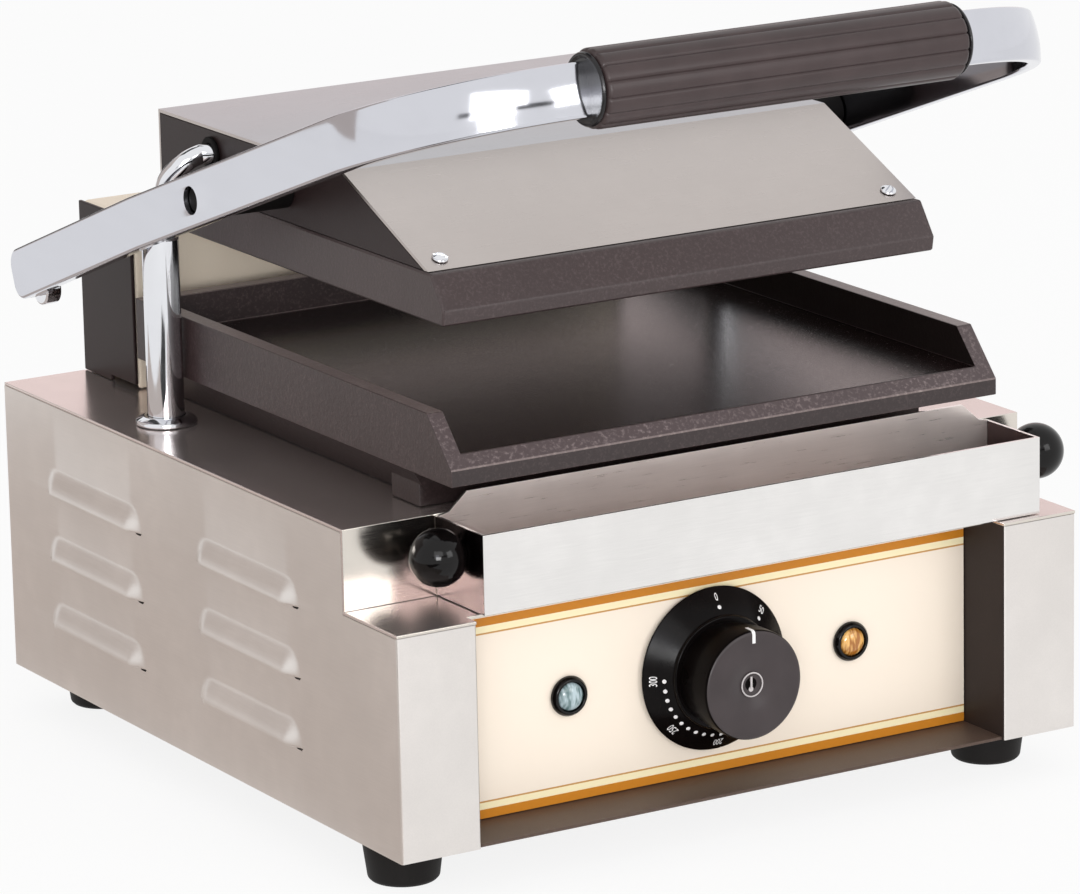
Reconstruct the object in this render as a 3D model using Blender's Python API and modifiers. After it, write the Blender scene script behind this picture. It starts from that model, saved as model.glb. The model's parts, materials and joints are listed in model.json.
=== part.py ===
# Contact grill: a steel base with a cast lower plate, and a cast upper plate in a
# sheet metal lid that rides on two sprung posts, tilts on the rods at their tops,
# and carries a U-shaped handle.
# Metres. X runs to the right, Y to the rear, Z up. The sizes below are measured from the
# middle of the base; everything hangs on one empty, set back so that the origin is on
# the table under the middle of the whole grill.
import math

import bmesh
import bpy
from mathutils import Matrix, Vector

# Clearances and sheet
FIT = 0.0003
OVERRUN = 0.002
SHEET = 0.0012

# Base
BODY_W = 0.290
BODY_D = 0.303
BODY_H = 0.1135
FOOT_H = 0.0165
LEDGE_DROP = 0.030
NOTCH_D = 0.038
PILLAR_W = 0.0324
RECESS_D = 0.0253
LEDGE_NOSE_IN = 0.007
DECK_LIP_X = 0.004
DECK_LIP_Y = 0.009

# Louvres in the side panels
LOUVRE_SHARE = 0.2574
LOUVRE_H = 0.0105
LOUVRE_OUT = 0.0042
LOUVRE_WALL = 0.0010
LOUVRE_PITCH_SHARE = 0.2326
LOUVRE_LOW_SHARE = 0.2176
LOUVRE_CENTRES = (0.2591, -0.1403)
LOUVRE_ROWS = 3

# Feet
FOOT_TOP_D = 0.030
FOOT_BOTTOM_D = 0.026
FOOT_ROUND = 0.0012
FOOT_FRONT_SIDE = 0.0184
FOOT_FRONT_IN = 0.0317
FOOT_REAR_SIDE = 0.0300
FOOT_REAR_IN = 0.0155
FOOT_STEM_D = 0.009
FOOT_BEAD_D = 0.013
FOOT_BEAD_H = 0.004

# Front panel, dial and lamps
FASCIA_T = 0.002
DIAL_SHARE = 0.7537
DIAL_RIM_H = 0.0022
DIAL_TOP_D = 0.0425
DIAL_H = 0.0095
SHAFT_D = 0.006
SHAFT_BORE_D = 0.0072
KNOB_D = 0.0410
KNOB_WAIST_D = 0.0385
KNOB_H = 0.0195
KNOB_DISH_D = 0.0225
KNOB_DISH_H = 0.0015
KNOB_ROUND = 0.0016
KNOB_SOCKET_H = 0.012
POINTER_W = 0.0022
POINTER_H = 0.0006
STAT_W = 0.040
STAT_L = 0.028
STAT_H = 0.036
BULB_D = 0.006
BULB_L = 0.070
CAPILLARY_D = 0.0018
LAMP_SHARE = 0.54
LAMP_DOWN = 0.0004
LAMP_BEZEL_D = 0.0150
LAMP_BEZEL_H = 0.0030
LAMP_BARREL_D = 0.0110
LAMP_BARREL_L = 0.016
LAMP_LENS_D = 0.0105
LAMP_LENS_OUT = 0.0030
LAMP_LIP = 0.0012

# Rear panel, terminal block, cable gland
REAR_SLOT_W = 0.030
REAR_SLOT_H = 0.003
REAR_SLOT_PITCH = 0.008
REAR_SLOT_DOWN = 0.0425
REAR_SLOTS = 4
GLAND_SIDE = 0.055
GLAND_Z = 0.0475
GLAND_D = 0.020
GLAND_OUT = 0.009
GLAND_BORE_D = 0.009
GLAND_NECK_D = 0.0155
GLAND_IN = 0.010
BLOCK_W = 0.046
BLOCK_D = 0.018
BLOCK_H = 0.016
BLOCK_POLES = 3
BLOCK_HOLE_D = 0.005
BLOCK_HOLE_H = 0.006
WIRE_D = 0.0026

# Rear box
BOX_SIDE_IN = 0.035
BOX_D = 0.0425
BOX_H = 0.0675
BOX_SIDE_T = 0.0015
BOX_NOTCH_L = 0.020
BOX_NOTCH_H = 0.002
BOX_BEND = 0.0015

# Lower cooking plate
LOW_SIDE_IN = 0.029
LOW_FRONT_IN = 0.0095
LOW_REAR_IN = 0.057
LOW_TOP_UP = 0.0402
LOW_FLOOR_UP = 0.0272
LOW_EDGE_UP = 0.0227
LOW_SHOULDER_UP = 0.0165
LOW_FOOT_SIDE = 0.016
LOW_FOOT_BACK = 0.040
LOW_SKIRT_BACK = 0.030
LOW_TOE_SIDE = 0.0085
LOW_TOE_L = 0.020
LOW_TOE_BACK = 0.0375
LOW_TOE_IN = 0.020
LOW_TOE_UP = 0.0180
LOW_FOOT_REAR_IN = 0.0045
LOW_RIM_T = 0.0065
LOW_RIM_BACK = 0.016
LOW_HOLLOW_SIDE = 0.028
LOW_HOLLOW_BACK = 0.050
LOW_HOLLOW_REAR_IN = 0.0185
LOW_HOLLOW_UP = 0.0125
LOW_ROUND = 0.0016
ELEMENT_D = 0.0070
ELEMENT_SHARE_X = 0.318
ELEMENT_SHARE_Y = 0.333
CLAMP_T = 0.0012
CLAMP_MARGIN = 0.004
PAD_T = 0.010
SHIELD_RIM = 0.008

# Posts, guides, springs and rods
POST_SIDE = 0.0214
POST_REAR_IN = 0.094
POST_D = 0.0140
POST_UP = 0.0735
POST_IN = 0.0330
POST_CHAMFER = 0.0016
COLLAR_D = 0.0235
COLLAR_H = 0.0031
COLLAR_RIM_H = 0.0014
COLLAR_NECK_D = 0.0175
GUIDE_D = 0.0190
SPRING_WIRE_D = 0.0014
SPRING_TURNS = 9
SPRING_STEPS = 8
ROD_D = 0.0076
ROD_BEND_UP = 0.0845
AXIS_AHEAD = 0.0065
AXIS_UP = 0.1020
ROD_SIDE_IN = 0.0020
ROD_OUT = 0.0035
ROD_CORNER_SHARE = 0.125
ROD_IN = 0.0110
BUSH_D = 0.0108
BUSH_LIP_D = 0.0126
BUSH_LIP_T = 0.0012
BUSH_IN = 0.0060

# Lid
LID_SIDE_IN = 0.0412
LID_REAR_IN = 0.058
LID_TOP_UP = 0.1120
LID_BREAK_IN = 0.1035
LID_FRONT_IN = 0.0432
LID_SIDE_T = 0.0015
UP_SIDE_IN = 0.0405
UP_REAR_IN = 0.0665
UP_TOP_BACK = 0.0085
UP_RIDGE_IN = 0.032
UP_LOW_BACK = 0.001
UP_BOTTOM_UP = 0.0680
UP_RIDGE_UP = 0.0735
UP_TOP_UP = 0.0857
UP_HOLLOW_SIDE = 0.0125
UP_HOLLOW_BACK = 0.0195
UP_HOLLOW_REAR_IN = 0.013
UP_HOLLOW_UP = 0.0775
LID_SCREW_SIDE = 0.0083
LID_SCREW_DOWN = 0.0065
LID_SCREW_D = 0.0062
LID_SCREW_H = 0.0018
LID_SCREW_SHANK_D = 0.0030
LID_SCREW_L = 0.0080

# Handle, built in its own tilted frame: Y' runs back along the arms, Z' is square to them
ARM_TILT = 19.6
PIVOT_AHEAD = 0.056
PIVOT_UP = 0.0987
BAR_SIDE_IN = 0.002
BAR_T = 0.0060
BAR_H = 0.0195
BAR_ROUND = 0.0008
BAR_BEND_R = 0.066
ARM_REAR = 0.1590
ARM_CORNER = 0.0055
REAR_BEND = 0.050
REAR_DROP = 0.0025
END_LEAN = 0.0020
GRIP_FRONT = 0.1763
GRIP_END_GAP = 0.002
GRIP_D = 0.0285
GRIP_FLUTES = 14
GRIP_FLUTE = 0.0006
GRIP_STEPS = 4
GRIP_RING_L = 0.0016
GRIP_RING_D = 0.0278
PIVOT_HOLE_D = 0.0105
PIVOT_PIN_D = 0.0096
PIVOT_SPACER_D = 0.0150
PIVOT_SINK = 0.0020
PIVOT_HEX_D = 0.0050
PIVOT_HEX_H = 0.0020
PIVOT_HEAD_D = 0.0150
PIVOT_HEAD_H = 0.0030
STUD_BACK = 0.1510
STUD_DROP = 0.0096
STUD_D = 0.0125
STUD_L = 0.0070
STUD_PIN_D = 0.0030

# Drip tray
TRAY_X = 0.0120
TRAY_SIDE = 0.0257
TRAY_FRONT_IN = 0.0035
TRAY_WALL_H = 0.0290
TRAY_BACK_H = 0.0366
TRAY_CHAMFER = 0.0075
TRAY_SHOULDER = 0.0050
TRAY_EDGE = 0.0010
TRAY_KNOB_BACK = 0.0155
TRAY_KNOB_UP = 0.0192
TRAY_KNOB_D = 0.0210
TRAY_KNOB_NECK_D = 0.0100
TRAY_KNOB_OUT = 0.0090
TRAY_KNOB_BACK_ANGLE = -52
TRAY_STUD_D = 0.0040
TRAY_STUD_IN = 0.0030

# Places that follow from the sizes
HALF_W = BODY_W / 2
Y_FRONT = -BODY_D / 2
Y_REAR = BODY_D / 2
Y_NOTCH = Y_FRONT + NOTCH_D
Y_FASCIA = Y_FRONT + RECESS_D
Z_UNDER = FOOT_H
Z_DECK = FOOT_H + BODY_H
Z_LEDGE = Z_DECK - LEDGE_DROP
Z_PAN = Z_UNDER + SHEET
PILLAR_IN = HALF_W - PILLAR_W
LOUVRE_LOW = FOOT_H + BODY_H * LOUVRE_LOW_SHARE
LOUVRE_PITCH = BODY_H * LOUVRE_PITCH_SHARE
DIAL_Z = (Z_PAN + Z_LEDGE - SHEET) / 2
DIAL_D = (Z_LEDGE - Z_PAN) * DIAL_SHARE
LAMP_Z = DIAL_Z - LAMP_DOWN
REAR_SLOT_Z = Z_DECK - REAR_SLOT_DOWN
BOX_TOP = Z_DECK + BOX_H
LOW_TOP = Z_DECK + LOW_TOP_UP
LOW_FLOOR = Z_DECK + LOW_FLOOR_UP
LOW_EDGE = Z_DECK + LOW_EDGE_UP
LOW_SHOULDER = Z_DECK + LOW_SHOULDER_UP
LOW_TOE_TOP = Z_DECK + LOW_TOE_UP
LOW_HOLLOW_TOP = Z_DECK + LOW_HOLLOW_UP
POST_TOP = Z_DECK + POST_UP
ROD_BEND_START = Z_DECK + ROD_BEND_UP
AXIS_Z = Z_DECK + AXIS_UP
LID_TOP = Z_DECK + LID_TOP_UP
UP_BOTTOM = Z_DECK + UP_BOTTOM_UP
UP_RIDGE_Z = Z_DECK + UP_RIDGE_UP
UP_TOP = Z_DECK + UP_TOP_UP
UP_HOLLOW_FLOOR = Z_DECK + UP_HOLLOW_UP
PIVOT_Z = Z_DECK + PIVOT_UP
LOUVRE_L = BODY_D * LOUVRE_SHARE
LOUVRE_Y = [BODY_D * share for share in LOUVRE_CENTRES]
FOOT_FRONT_X = HALF_W - FOOT_FRONT_SIDE
FOOT_FRONT_Y = -Y_FRONT - FOOT_FRONT_IN
FOOT_REAR_X = HALF_W - FOOT_REAR_SIDE
FOOT_REAR_Y = Y_REAR - FOOT_REAR_IN
LAMP_X = PILLAR_IN * LAMP_SHARE
GLAND_X = GLAND_SIDE - HALF_W
BOX_W = BODY_W - 2 * BOX_SIDE_IN
Y_BOX = Y_REAR - BOX_D
LOW_HALF = HALF_W - LOW_SIDE_IN
LOW_FRONT = -Y_FRONT - LOW_FRONT_IN
LOW_REAR = Y_REAR - LOW_REAR_IN
LOW_FOOT_FRONT = LOW_FRONT - LOW_FOOT_BACK
LOW_SKIRT_FRONT = LOW_FRONT - LOW_SKIRT_BACK
LOW_TOE_FRONT = LOW_FRONT - LOW_TOE_BACK
LOW_TOE_OUT = LOW_HALF - LOW_TOE_SIDE
LOW_FOOT_REAR = LOW_REAR - LOW_FOOT_REAR_IN
LOW_RIM_FRONT = LOW_FRONT - LOW_RIM_BACK
LOW_HOLLOW_W = 2 * (LOW_HALF - LOW_HOLLOW_SIDE)
LOW_HOLLOW_FRONT = LOW_FRONT - LOW_HOLLOW_BACK
LOW_HOLLOW_REAR = LOW_REAR - LOW_HOLLOW_REAR_IN
DECK_HOLE_W = LOW_HOLLOW_W - 2 * DECK_LIP_X
DECK_HOLE_D = LOW_HOLLOW_FRONT + LOW_HOLLOW_REAR - 2 * DECK_LIP_Y
ELEMENT_W = LOW_HOLLOW_W * ELEMENT_SHARE_X
ELEMENT_LEG = (LOW_HOLLOW_FRONT + LOW_HOLLOW_REAR) * ELEMENT_SHARE_Y
POST_X = HALF_W - POST_SIDE
POST_Y = Y_REAR - POST_REAR_IN
AXIS_Y = POST_Y - AXIS_AHEAD
PIVOT_Y = AXIS_Y - PIVOT_AHEAD
LID_HALF = HALF_W - LID_SIDE_IN
LID_REAR = Y_REAR - LID_REAR_IN
LID_BREAK = -Y_FRONT - LID_BREAK_IN
LID_FRONT = -Y_FRONT - LID_FRONT_IN
LID_SCREW_X = LID_HALF - LID_SCREW_SIDE
UP_HALF = HALF_W - UP_SIDE_IN
UP_REAR = Y_REAR - UP_REAR_IN
UP_RIDGE = -Y_FRONT - UP_RIDGE_IN
UP_FRONT_TOP = UP_RIDGE - UP_TOP_BACK
UP_FRONT_LOW = UP_RIDGE - UP_LOW_BACK
UP_HOLLOW_W = 2 * (UP_HALF - UP_HOLLOW_SIDE)
UP_HOLLOW_FRONT = UP_RIDGE - UP_HOLLOW_BACK
UP_HOLLOW_REAR = UP_REAR - UP_HOLLOW_REAR_IN
ARM_HALF = HALF_W - BAR_SIDE_IN
ARM_IN = ARM_HALF - BAR_T
GRIP_L = 2 * (ARM_HALF - BAR_BEND_R - GRIP_END_GAP)
TRAY_W = BODY_W - 2 * TRAY_SIDE
TRAY_FRONT = -Y_FRONT - TRAY_FRONT_IN
TRAY_KNOB_Y = TRAY_FRONT - TRAY_KNOB_BACK
ROUND = 20

for old in list(bpy.data.objects):
    bpy.data.objects.remove(old)
grill = bpy.data.collections.new("contact_grill")
cutters = bpy.data.collections.new("cutters")
for group in (grill, cutters):
    bpy.context.scene.collection.children.link(group)


def material(name, color, roughness, metallic=0.0):
    mat = bpy.data.materials.new(name)
    mat.use_nodes = True
    shader = mat.node_tree.nodes["Principled BSDF"]
    shader.inputs["Base Color"].default_value = (*color, 1.0)
    shader.inputs["Roughness"].default_value = roughness
    shader.inputs["Metallic"].default_value = metallic
    return mat


STEEL = material("brushed_steel", (0.55, 0.50, 0.46), 0.38, 1.0)
COVER = material("bright_cover_steel", (0.60, 0.58, 0.56), 0.32, 1.0)
CHROME = material("chrome", (0.72, 0.74, 0.77), 0.12, 1.0)
IRON = material("enamelled_iron", (0.055, 0.045, 0.047), 0.5)
DARK = material("dark_painted_steel", (0.07, 0.055, 0.058), 0.55)
CREAM = material("cream_panel", (0.87, 0.80, 0.70), 0.45)
BLACK = material("black_plastic", (0.012, 0.012, 0.013), 0.22)
RUBBER = material("black_rubber", (0.02, 0.02, 0.02), 0.8)
GRIP = material("dark_brown_grip", (0.06, 0.045, 0.05), 0.4)
LENS_CLEAR = material("grey_green_lens", (0.30, 0.36, 0.36), 0.15)
LENS_AMBER = material("amber_lens", (0.75, 0.30, 0.05), 0.15)
GALVANISED = material("galvanised_sheet", (0.50, 0.51, 0.52), 0.45, 1.0)
WOOL = material("ceramic_wool", (0.75, 0.72, 0.66), 0.95)
SHEATH = material("element_sheath", (0.22, 0.20, 0.19), 0.5, 1.0)
SPRING = material("spring_steel", (0.35, 0.34, 0.33), 0.3, 1.0)
BRASS = material("bronze_bush", (0.50, 0.36, 0.18), 0.35, 1.0)
CERAMIC = material("white_ceramic", (0.80, 0.78, 0.74), 0.5)
WIRE = material("wire_sleeve", (0.60, 0.56, 0.50), 0.7)


grip_reach = GRIP_FRONT * math.cos(math.radians(ARM_TILT)) - PIVOT_Y + GRIP_D / 2
stand = bpy.data.objects.new("stand", None)
stand.empty_display_size = SHAFT_D
stand.location = (0, (grip_reach - Y_REAR - GLAND_OUT) / 2, 0)
stand["world"] = (0.0, 0.0, 0.0)
grill.objects.link(stand)


def anchor(name, at, parent=stand, tilt=0.0):
    empty = bpy.data.objects.new(name, None)
    empty.empty_display_size = SHAFT_D
    empty.rotation_euler = (math.radians(tilt), 0, 0)
    grill.objects.link(empty)
    empty.parent = parent
    empty.location = Vector(at) - Vector(parent["world"])
    empty["world"] = tuple(at)
    return empty


def placed(name, mesh, mat, at, parent=stand, local=False):
    """An object whose origin is at a point, with its mesh kept where it was made."""
    mesh.transform(Matrix.Translation(-Vector(at)))
    mesh.materials.clear()
    mesh.materials.append(mat)
    obj = bpy.data.objects.new(name, mesh)
    grill.objects.link(obj)
    obj["at"] = tuple(at)
    obj.parent = parent
    obj.location = Vector(at) if local else Vector(at) - Vector(parent["world"])
    mesh.shade_smooth()
    mesh.set_sharp_from_angle(angle=math.radians(35))
    return obj


def mesh_of(name, bm):
    mesh = bpy.data.meshes.new(name)
    bm.to_mesh(mesh)
    bm.free()
    return mesh


def box_mesh(name, low, high):
    bm = bmesh.new()
    bmesh.ops.create_cube(bm, size=1)
    size = [b - a for a, b in zip(low, high)]
    middle = [(a + b) / 2 for a, b in zip(low, high)]
    bmesh.ops.transform(bm, matrix=Matrix.Translation(middle) @ Matrix.Diagonal((*size, 1)), verts=bm.verts)
    return mesh_of(name, bm)


def cylinder_mesh(name, start, length, radius, axis, top_radius=None, sides=ROUND):
    """A cylinder or cone whose axis starts at a point and runs along +X, +Y or +Z."""
    bm = bmesh.new()
    ends = (radius, radius if top_radius is None else top_radius)
    bmesh.ops.create_cone(bm, cap_ends=True, segments=sides, radius1=ends[0], radius2=ends[1], depth=length)
    bmesh.ops.translate(bm, vec=(0, 0, length / 2), verts=bm.verts)
    if axis == "Y":
        bmesh.ops.rotate(bm, cent=(0, 0, 0), matrix=Matrix.Rotation(math.radians(-90), 3, "X"),
                         verts=bm.verts)
    elif axis == "X":
        bmesh.ops.rotate(bm, cent=(0, 0, 0), matrix=Matrix.Rotation(math.radians(90), 3, "Y"),
                         verts=bm.verts)
    bmesh.ops.translate(bm, vec=start, verts=bm.verts)
    return mesh_of(name, bm)


def frozen(name, obj, merge=FIT / 10):
    """A curve or modified object as a plain closed mesh in world space."""
    depsgraph = bpy.context.evaluated_depsgraph_get()
    mesh = bpy.data.meshes.new_from_object(obj.evaluated_get(depsgraph))
    mesh.transform(obj.matrix_world)
    bm = bmesh.new()
    bm.from_mesh(mesh)
    bmesh.ops.remove_doubles(bm, verts=bm.verts, dist=merge)
    bmesh.ops.recalc_face_normals(bm, faces=bm.faces)
    bm.to_mesh(mesh)
    bm.free()
    mesh.name = name
    bpy.data.objects.remove(obj)
    return mesh


def outline_mesh(name, points, low, high, axis):
    """A flat outline extruded along an axis: drawn in YZ for X, in XZ for Y and in XY for Z."""
    curve = bpy.data.curves.new(name, "CURVE")
    curve.dimensions = "2D"
    curve.fill_mode = "BOTH"
    curve.extrude = (high - low) / 2
    spline = curve.splines.new("POLY")
    spline.points.add(len(points) - 1)
    for point, place in zip(spline.points, points):
        point.co = (place[0], place[1], 0, 1)
    spline.use_cyclic_u = True
    obj = bpy.data.objects.new(name, curve)
    cutters.objects.link(obj)
    middle = (low + high) / 2
    if axis == "X":
        turn = Matrix(((0, 0, 1, middle), (1, 0, 0, 0), (0, 1, 0, 0), (0, 0, 0, 1)))
    elif axis == "Y":
        turn = Matrix(((1, 0, 0, 0), (0, 0, -1, middle), (0, 1, 0, 0), (0, 0, 0, 1)))
    else:
        turn = Matrix.Translation((0, 0, middle))
    obj.matrix_world = turn
    bpy.context.view_layer.update()
    return frozen(name, obj)


def turned_mesh(name, profile, at, axis, steps=ROUND):
    """A profile of (radius, height) turned about an axis: open at the axis or closed as a ring."""
    bm = bmesh.new()
    verts = [bm.verts.new((radius, 0, height)) for radius, height in profile]
    pairs = list(zip(verts, verts[1:]))
    if profile[0][0] > 0:
        pairs.append((verts[-1], verts[0]))
    for pair in pairs:
        bm.edges.new(pair)
    obj = bpy.data.objects.new(name, mesh_of(name, bm))
    cutters.objects.link(obj)
    screw = obj.modifiers.new("turn", "SCREW")
    screw.axis = "Z"
    screw.steps = steps
    screw.render_steps = steps
    screw.use_merge_vertices = True
    screw.merge_threshold = FIT / 10
    # local Z is pointed along the axis named, either way
    turns = {"+Z": Matrix.Identity(4), "-Z": Matrix.Rotation(math.pi, 4, "X"),
             "+X": Matrix.Rotation(math.pi / 2, 4, "Y"), "-X": Matrix.Rotation(-math.pi / 2, 4, "Y"),
             "+Y": Matrix.Rotation(-math.pi / 2, 4, "X"), "-Y": Matrix.Rotation(math.pi / 2, 4, "X")}
    obj.matrix_world = Matrix.Translation(at) @ turns[axis]
    bpy.context.view_layer.update()
    return frozen(name, obj)


def wire_mesh(name, points, diameter, resolution=2):
    curve = bpy.data.curves.new(name, "CURVE")
    curve.dimensions = "3D"
    curve.bevel_depth = diameter / 2
    curve.bevel_resolution = resolution
    curve.use_fill_caps = True
    spline = curve.splines.new("POLY")
    spline.points.add(len(points) - 1)
    for point, place in zip(spline.points, points):
        point.co = (*place, 1)
    obj = bpy.data.objects.new(name, curve)
    cutters.objects.link(obj)
    bpy.context.view_layer.update()
    return frozen(name, obj)


def arc(centre, radius, start, end, steps):
    out = []
    for i in range(steps + 1):
        angle = math.radians(start + (end - start) * i / steps)
        out.append((centre[0] + radius * math.cos(angle), centre[1] + radius * math.sin(angle)))
    return out


def smooth_path(points, steps):
    """A Catmull-Rom curve through points."""
    ends = [points[0], *points, points[-1]]
    out = []
    for a, b, c, d in zip(ends, ends[1:], ends[2:], ends[3:]):
        a, b, c, d = Vector(a), Vector(b), Vector(c), Vector(d)
        for i in range(steps):
            t = i / steps
            out.append(0.5 * ((2 * b) + (c - a) * t + (2 * a - 5 * b + 4 * c - d) * t * t
                              + (3 * b - a - 3 * c + d) * t * t * t))
    out.append(Vector(points[-1]))
    return out


def shape_with(body, mesh, operation):
    tool = bpy.data.objects.new(body.name + "_" + operation.lower(), mesh)
    tool.hide_render = True
    tool.display_type = "WIRE"
    cutters.objects.link(tool)
    tool.parent = body
    tool.location = -Vector(body["at"])
    change = body.modifiers.new(operation.lower(), "BOOLEAN")
    change.operation = operation
    change.solver = "EXACT"
    change.object = tool
    return tool


def cut(body, *meshes):
    for mesh in meshes:
        shape_with(body, mesh, "DIFFERENCE")


def join(body, *meshes):
    for mesh in meshes:
        shape_with(body, mesh, "UNION")


def soften(body, width, segments=2, angle=40):
    bevel = body.modifiers.new("edges", "BEVEL")
    bevel.width = width
    bevel.segments = segments
    bevel.limit_method = "ANGLE"
    bevel.angle_limit = math.radians(angle)
    bevel.harden_normals = False
    return bevel


def block(name, low, high, mat, parent=stand):
    at = [(a + b) / 2 for a, b in zip(low, high)]
    return placed(name, box_mesh(name, low, high), mat, at, parent)


# Anchors of the moving pieces
axis_at = (0, AXIS_Y, AXIS_Z)
carriage = anchor("post_travel", (0, POST_Y, Z_DECK))
lid_axis = anchor("lid_tilt", axis_at, carriage)
handle_axis = anchor("handle_swing", (0, PIVOT_Y, PIVOT_Z), lid_axis, -ARM_TILT)
knob_axis = anchor("thermostat_turn", (0, Y_FASCIA, DIAL_Z))
tray_slide = anchor("tray_pull", (TRAY_X, -TRAY_FRONT, Z_LEDGE))

# Base pan: a flat floor that also shows as the strip in front of the recessed panel
pan_half = HALF_W - SHEET - FIT
pan = block("base_pan", (-pan_half, Y_FRONT + SHEET + FIT, Z_UNDER), (pan_half, Y_REAR, Z_PAN), DARK)


def louvre_mesh(name, side, y, z, wall, below, inward):
    """A pressed hood: a stretched ball, flat at its open lower lip and at its back."""
    bm = bmesh.new()
    bmesh.ops.create_uvsphere(bm, u_segments=14, v_segments=5, radius=1)
    bmesh.ops.rotate(bm, cent=(0, 0, 0), matrix=Matrix.Rotation(math.radians(90), 3, "X"), verts=bm.verts)
    high = LOUVRE_H - wall
    out = LOUVRE_OUT - wall
    run = LOUVRE_L / 2 - LOUVRE_H
    for vert in bm.verts:
        stretch = run if vert.co.y > 0 else -run
        vert.co = (max(vert.co.x * out - SHEET / 4, -inward), vert.co.y * high + stretch,
                   max(vert.co.z * high, -below))
    bmesh.ops.remove_doubles(bm, verts=bm.verts, dist=FIT / 10)
    bmesh.ops.scale(bm, vec=(side, 1, 1), verts=bm.verts)
    bmesh.ops.triangulate(bm, faces=bm.faces)
    bmesh.ops.recalc_face_normals(bm, faces=bm.faces)
    bmesh.ops.translate(bm, vec=(side * HALF_W, y, z), verts=bm.verts)
    return mesh_of(name, bm)


# Side panels: each one sheet folded round the front pillar, with pressed louvres
side_top = Z_DECK - SHEET - FIT
ledge_under = Z_LEDGE - SHEET - FIT
for side, word in ((-1, "left"), (1, "right")):
    name = "side_panel_" + word
    outer = side * HALF_W
    inner = side * (HALF_W - SHEET)
    pillar = side * PILLAR_IN
    pillar_out = side * (PILLAR_IN + SHEET)
    fold = [
        (outer, Y_REAR), (outer, Y_FRONT), (pillar, Y_FRONT), (pillar, Y_FASCIA + FASCIA_T),
        (pillar_out, Y_FASCIA + FASCIA_T), (pillar_out, Y_FRONT + SHEET), (inner, Y_FRONT + SHEET),
        (inner, Y_REAR)]
    panel = placed(name, outline_mesh(name, fold, Z_UNDER, side_top, "Z"), STEEL, (outer, 0, Z_UNDER))
    cut(panel, box_mesh("ledge_step", (-BODY_W, Y_FRONT - OVERRUN, ledge_under),
                        (BODY_W, Y_NOTCH + FIT, side_top + OVERRUN)))
    a, b = sorted((side * (PILLAR_IN - OVERRUN), side * (PILLAR_IN + SHEET + OVERRUN)))
    cut(panel, box_mesh("pan_slot", (a, Y_FRONT + SHEET + FIT, Z_UNDER - OVERRUN),
                        (b, Y_FASCIA + FASCIA_T + OVERRUN, Z_PAN + FIT)))
    for y in LOUVRE_Y:
        for row in range(LOUVRE_ROWS):
            z = LOUVRE_LOW + row * LOUVRE_PITCH
            join(panel, louvre_mesh("hood", side, y, z, 0, 0, SHEET / 2))
            cut(panel, louvre_mesh("hood_hollow", side, y, z, LOUVRE_WALL, FIT, SHEET + OVERRUN))

# Top deck: one folded sheet with the stepped ledge, open under the lower plate and bored for the posts
deck_outline = [
    (Y_REAR, Z_DECK), (Y_NOTCH - SHEET, Z_DECK), (Y_NOTCH - SHEET, Z_LEDGE), (Y_FRONT, Z_LEDGE),
    (Y_FRONT, Z_LEDGE - SHEET), (Y_NOTCH, Z_LEDGE - SHEET), (Y_NOTCH, Z_DECK - SHEET),
    (Y_REAR, Z_DECK - SHEET)]
deck = placed("top_deck", outline_mesh("top_deck", deck_outline, -HALF_W, HALF_W, "X"), STEEL,
              (0, 0, Z_DECK))
deck_hole_mid = (LOW_HOLLOW_REAR - LOW_HOLLOW_FRONT) / 2
cut(deck, box_mesh("plate_opening", (-DECK_HOLE_W / 2, deck_hole_mid - DECK_HOLE_D / 2,
                                     Z_DECK - SHEET - OVERRUN),
                   (DECK_HOLE_W / 2, deck_hole_mid + DECK_HOLE_D / 2, Z_DECK + OVERRUN)))
cut(deck, box_mesh("ledge_nose", (-PILLAR_IN, Y_FRONT - OVERRUN, Z_LEDGE - SHEET - OVERRUN),
                   (PILLAR_IN, Y_FRONT + LEDGE_NOSE_IN, Z_LEDGE + OVERRUN)))
for side in (-1, 1):
    cut(deck, cylinder_mesh("post_opening", (side * POST_X, POST_Y, Z_DECK - SHEET - OVERRUN),
                            SHEET + 2 * OVERRUN,
                            GUIDE_D / 2 + FIT, "Z"))

# Rear panel with vent slots and the cable gland's hole
rear_half = HALF_W - SHEET - FIT
rear = block("rear_panel", (-rear_half, Y_REAR - SHEET, Z_PAN + FIT),
             (rear_half, Y_REAR, Z_DECK - SHEET - FIT), STEEL)
for side in (-1, 1):
    for row in range(REAR_SLOTS):
        z = REAR_SLOT_Z + row * REAR_SLOT_PITCH
        cut(rear, box_mesh("vent", (side * REAR_SLOT_W - REAR_SLOT_W / 2, Y_REAR - SHEET - OVERRUN, z),
                           (side * REAR_SLOT_W + REAR_SLOT_W / 2, Y_REAR + OVERRUN, z + REAR_SLOT_H)))
cut(rear, cylinder_mesh("gland_hole", (GLAND_X, Y_REAR - SHEET - OVERRUN, GLAND_Z), SHEET + 2 * OVERRUN,
                        GLAND_NECK_D / 2 + FIT, "Y"))

gland_profile = [
    (GLAND_NECK_D / 2, -GLAND_IN), (GLAND_NECK_D / 2, FIT), (GLAND_D / 2, FIT),
    (GLAND_D / 2, GLAND_OUT * 2 / 3), (GLAND_NECK_D / 2, GLAND_OUT), (GLAND_BORE_D / 2, GLAND_OUT),
    (GLAND_BORE_D / 2, -GLAND_IN)]
placed("cable_gland", turned_mesh("cable_gland", gland_profile, (GLAND_X, Y_REAR, GLAND_Z), "+Y"), BLACK,
       (GLAND_X, Y_REAR, GLAND_Z))

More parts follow.
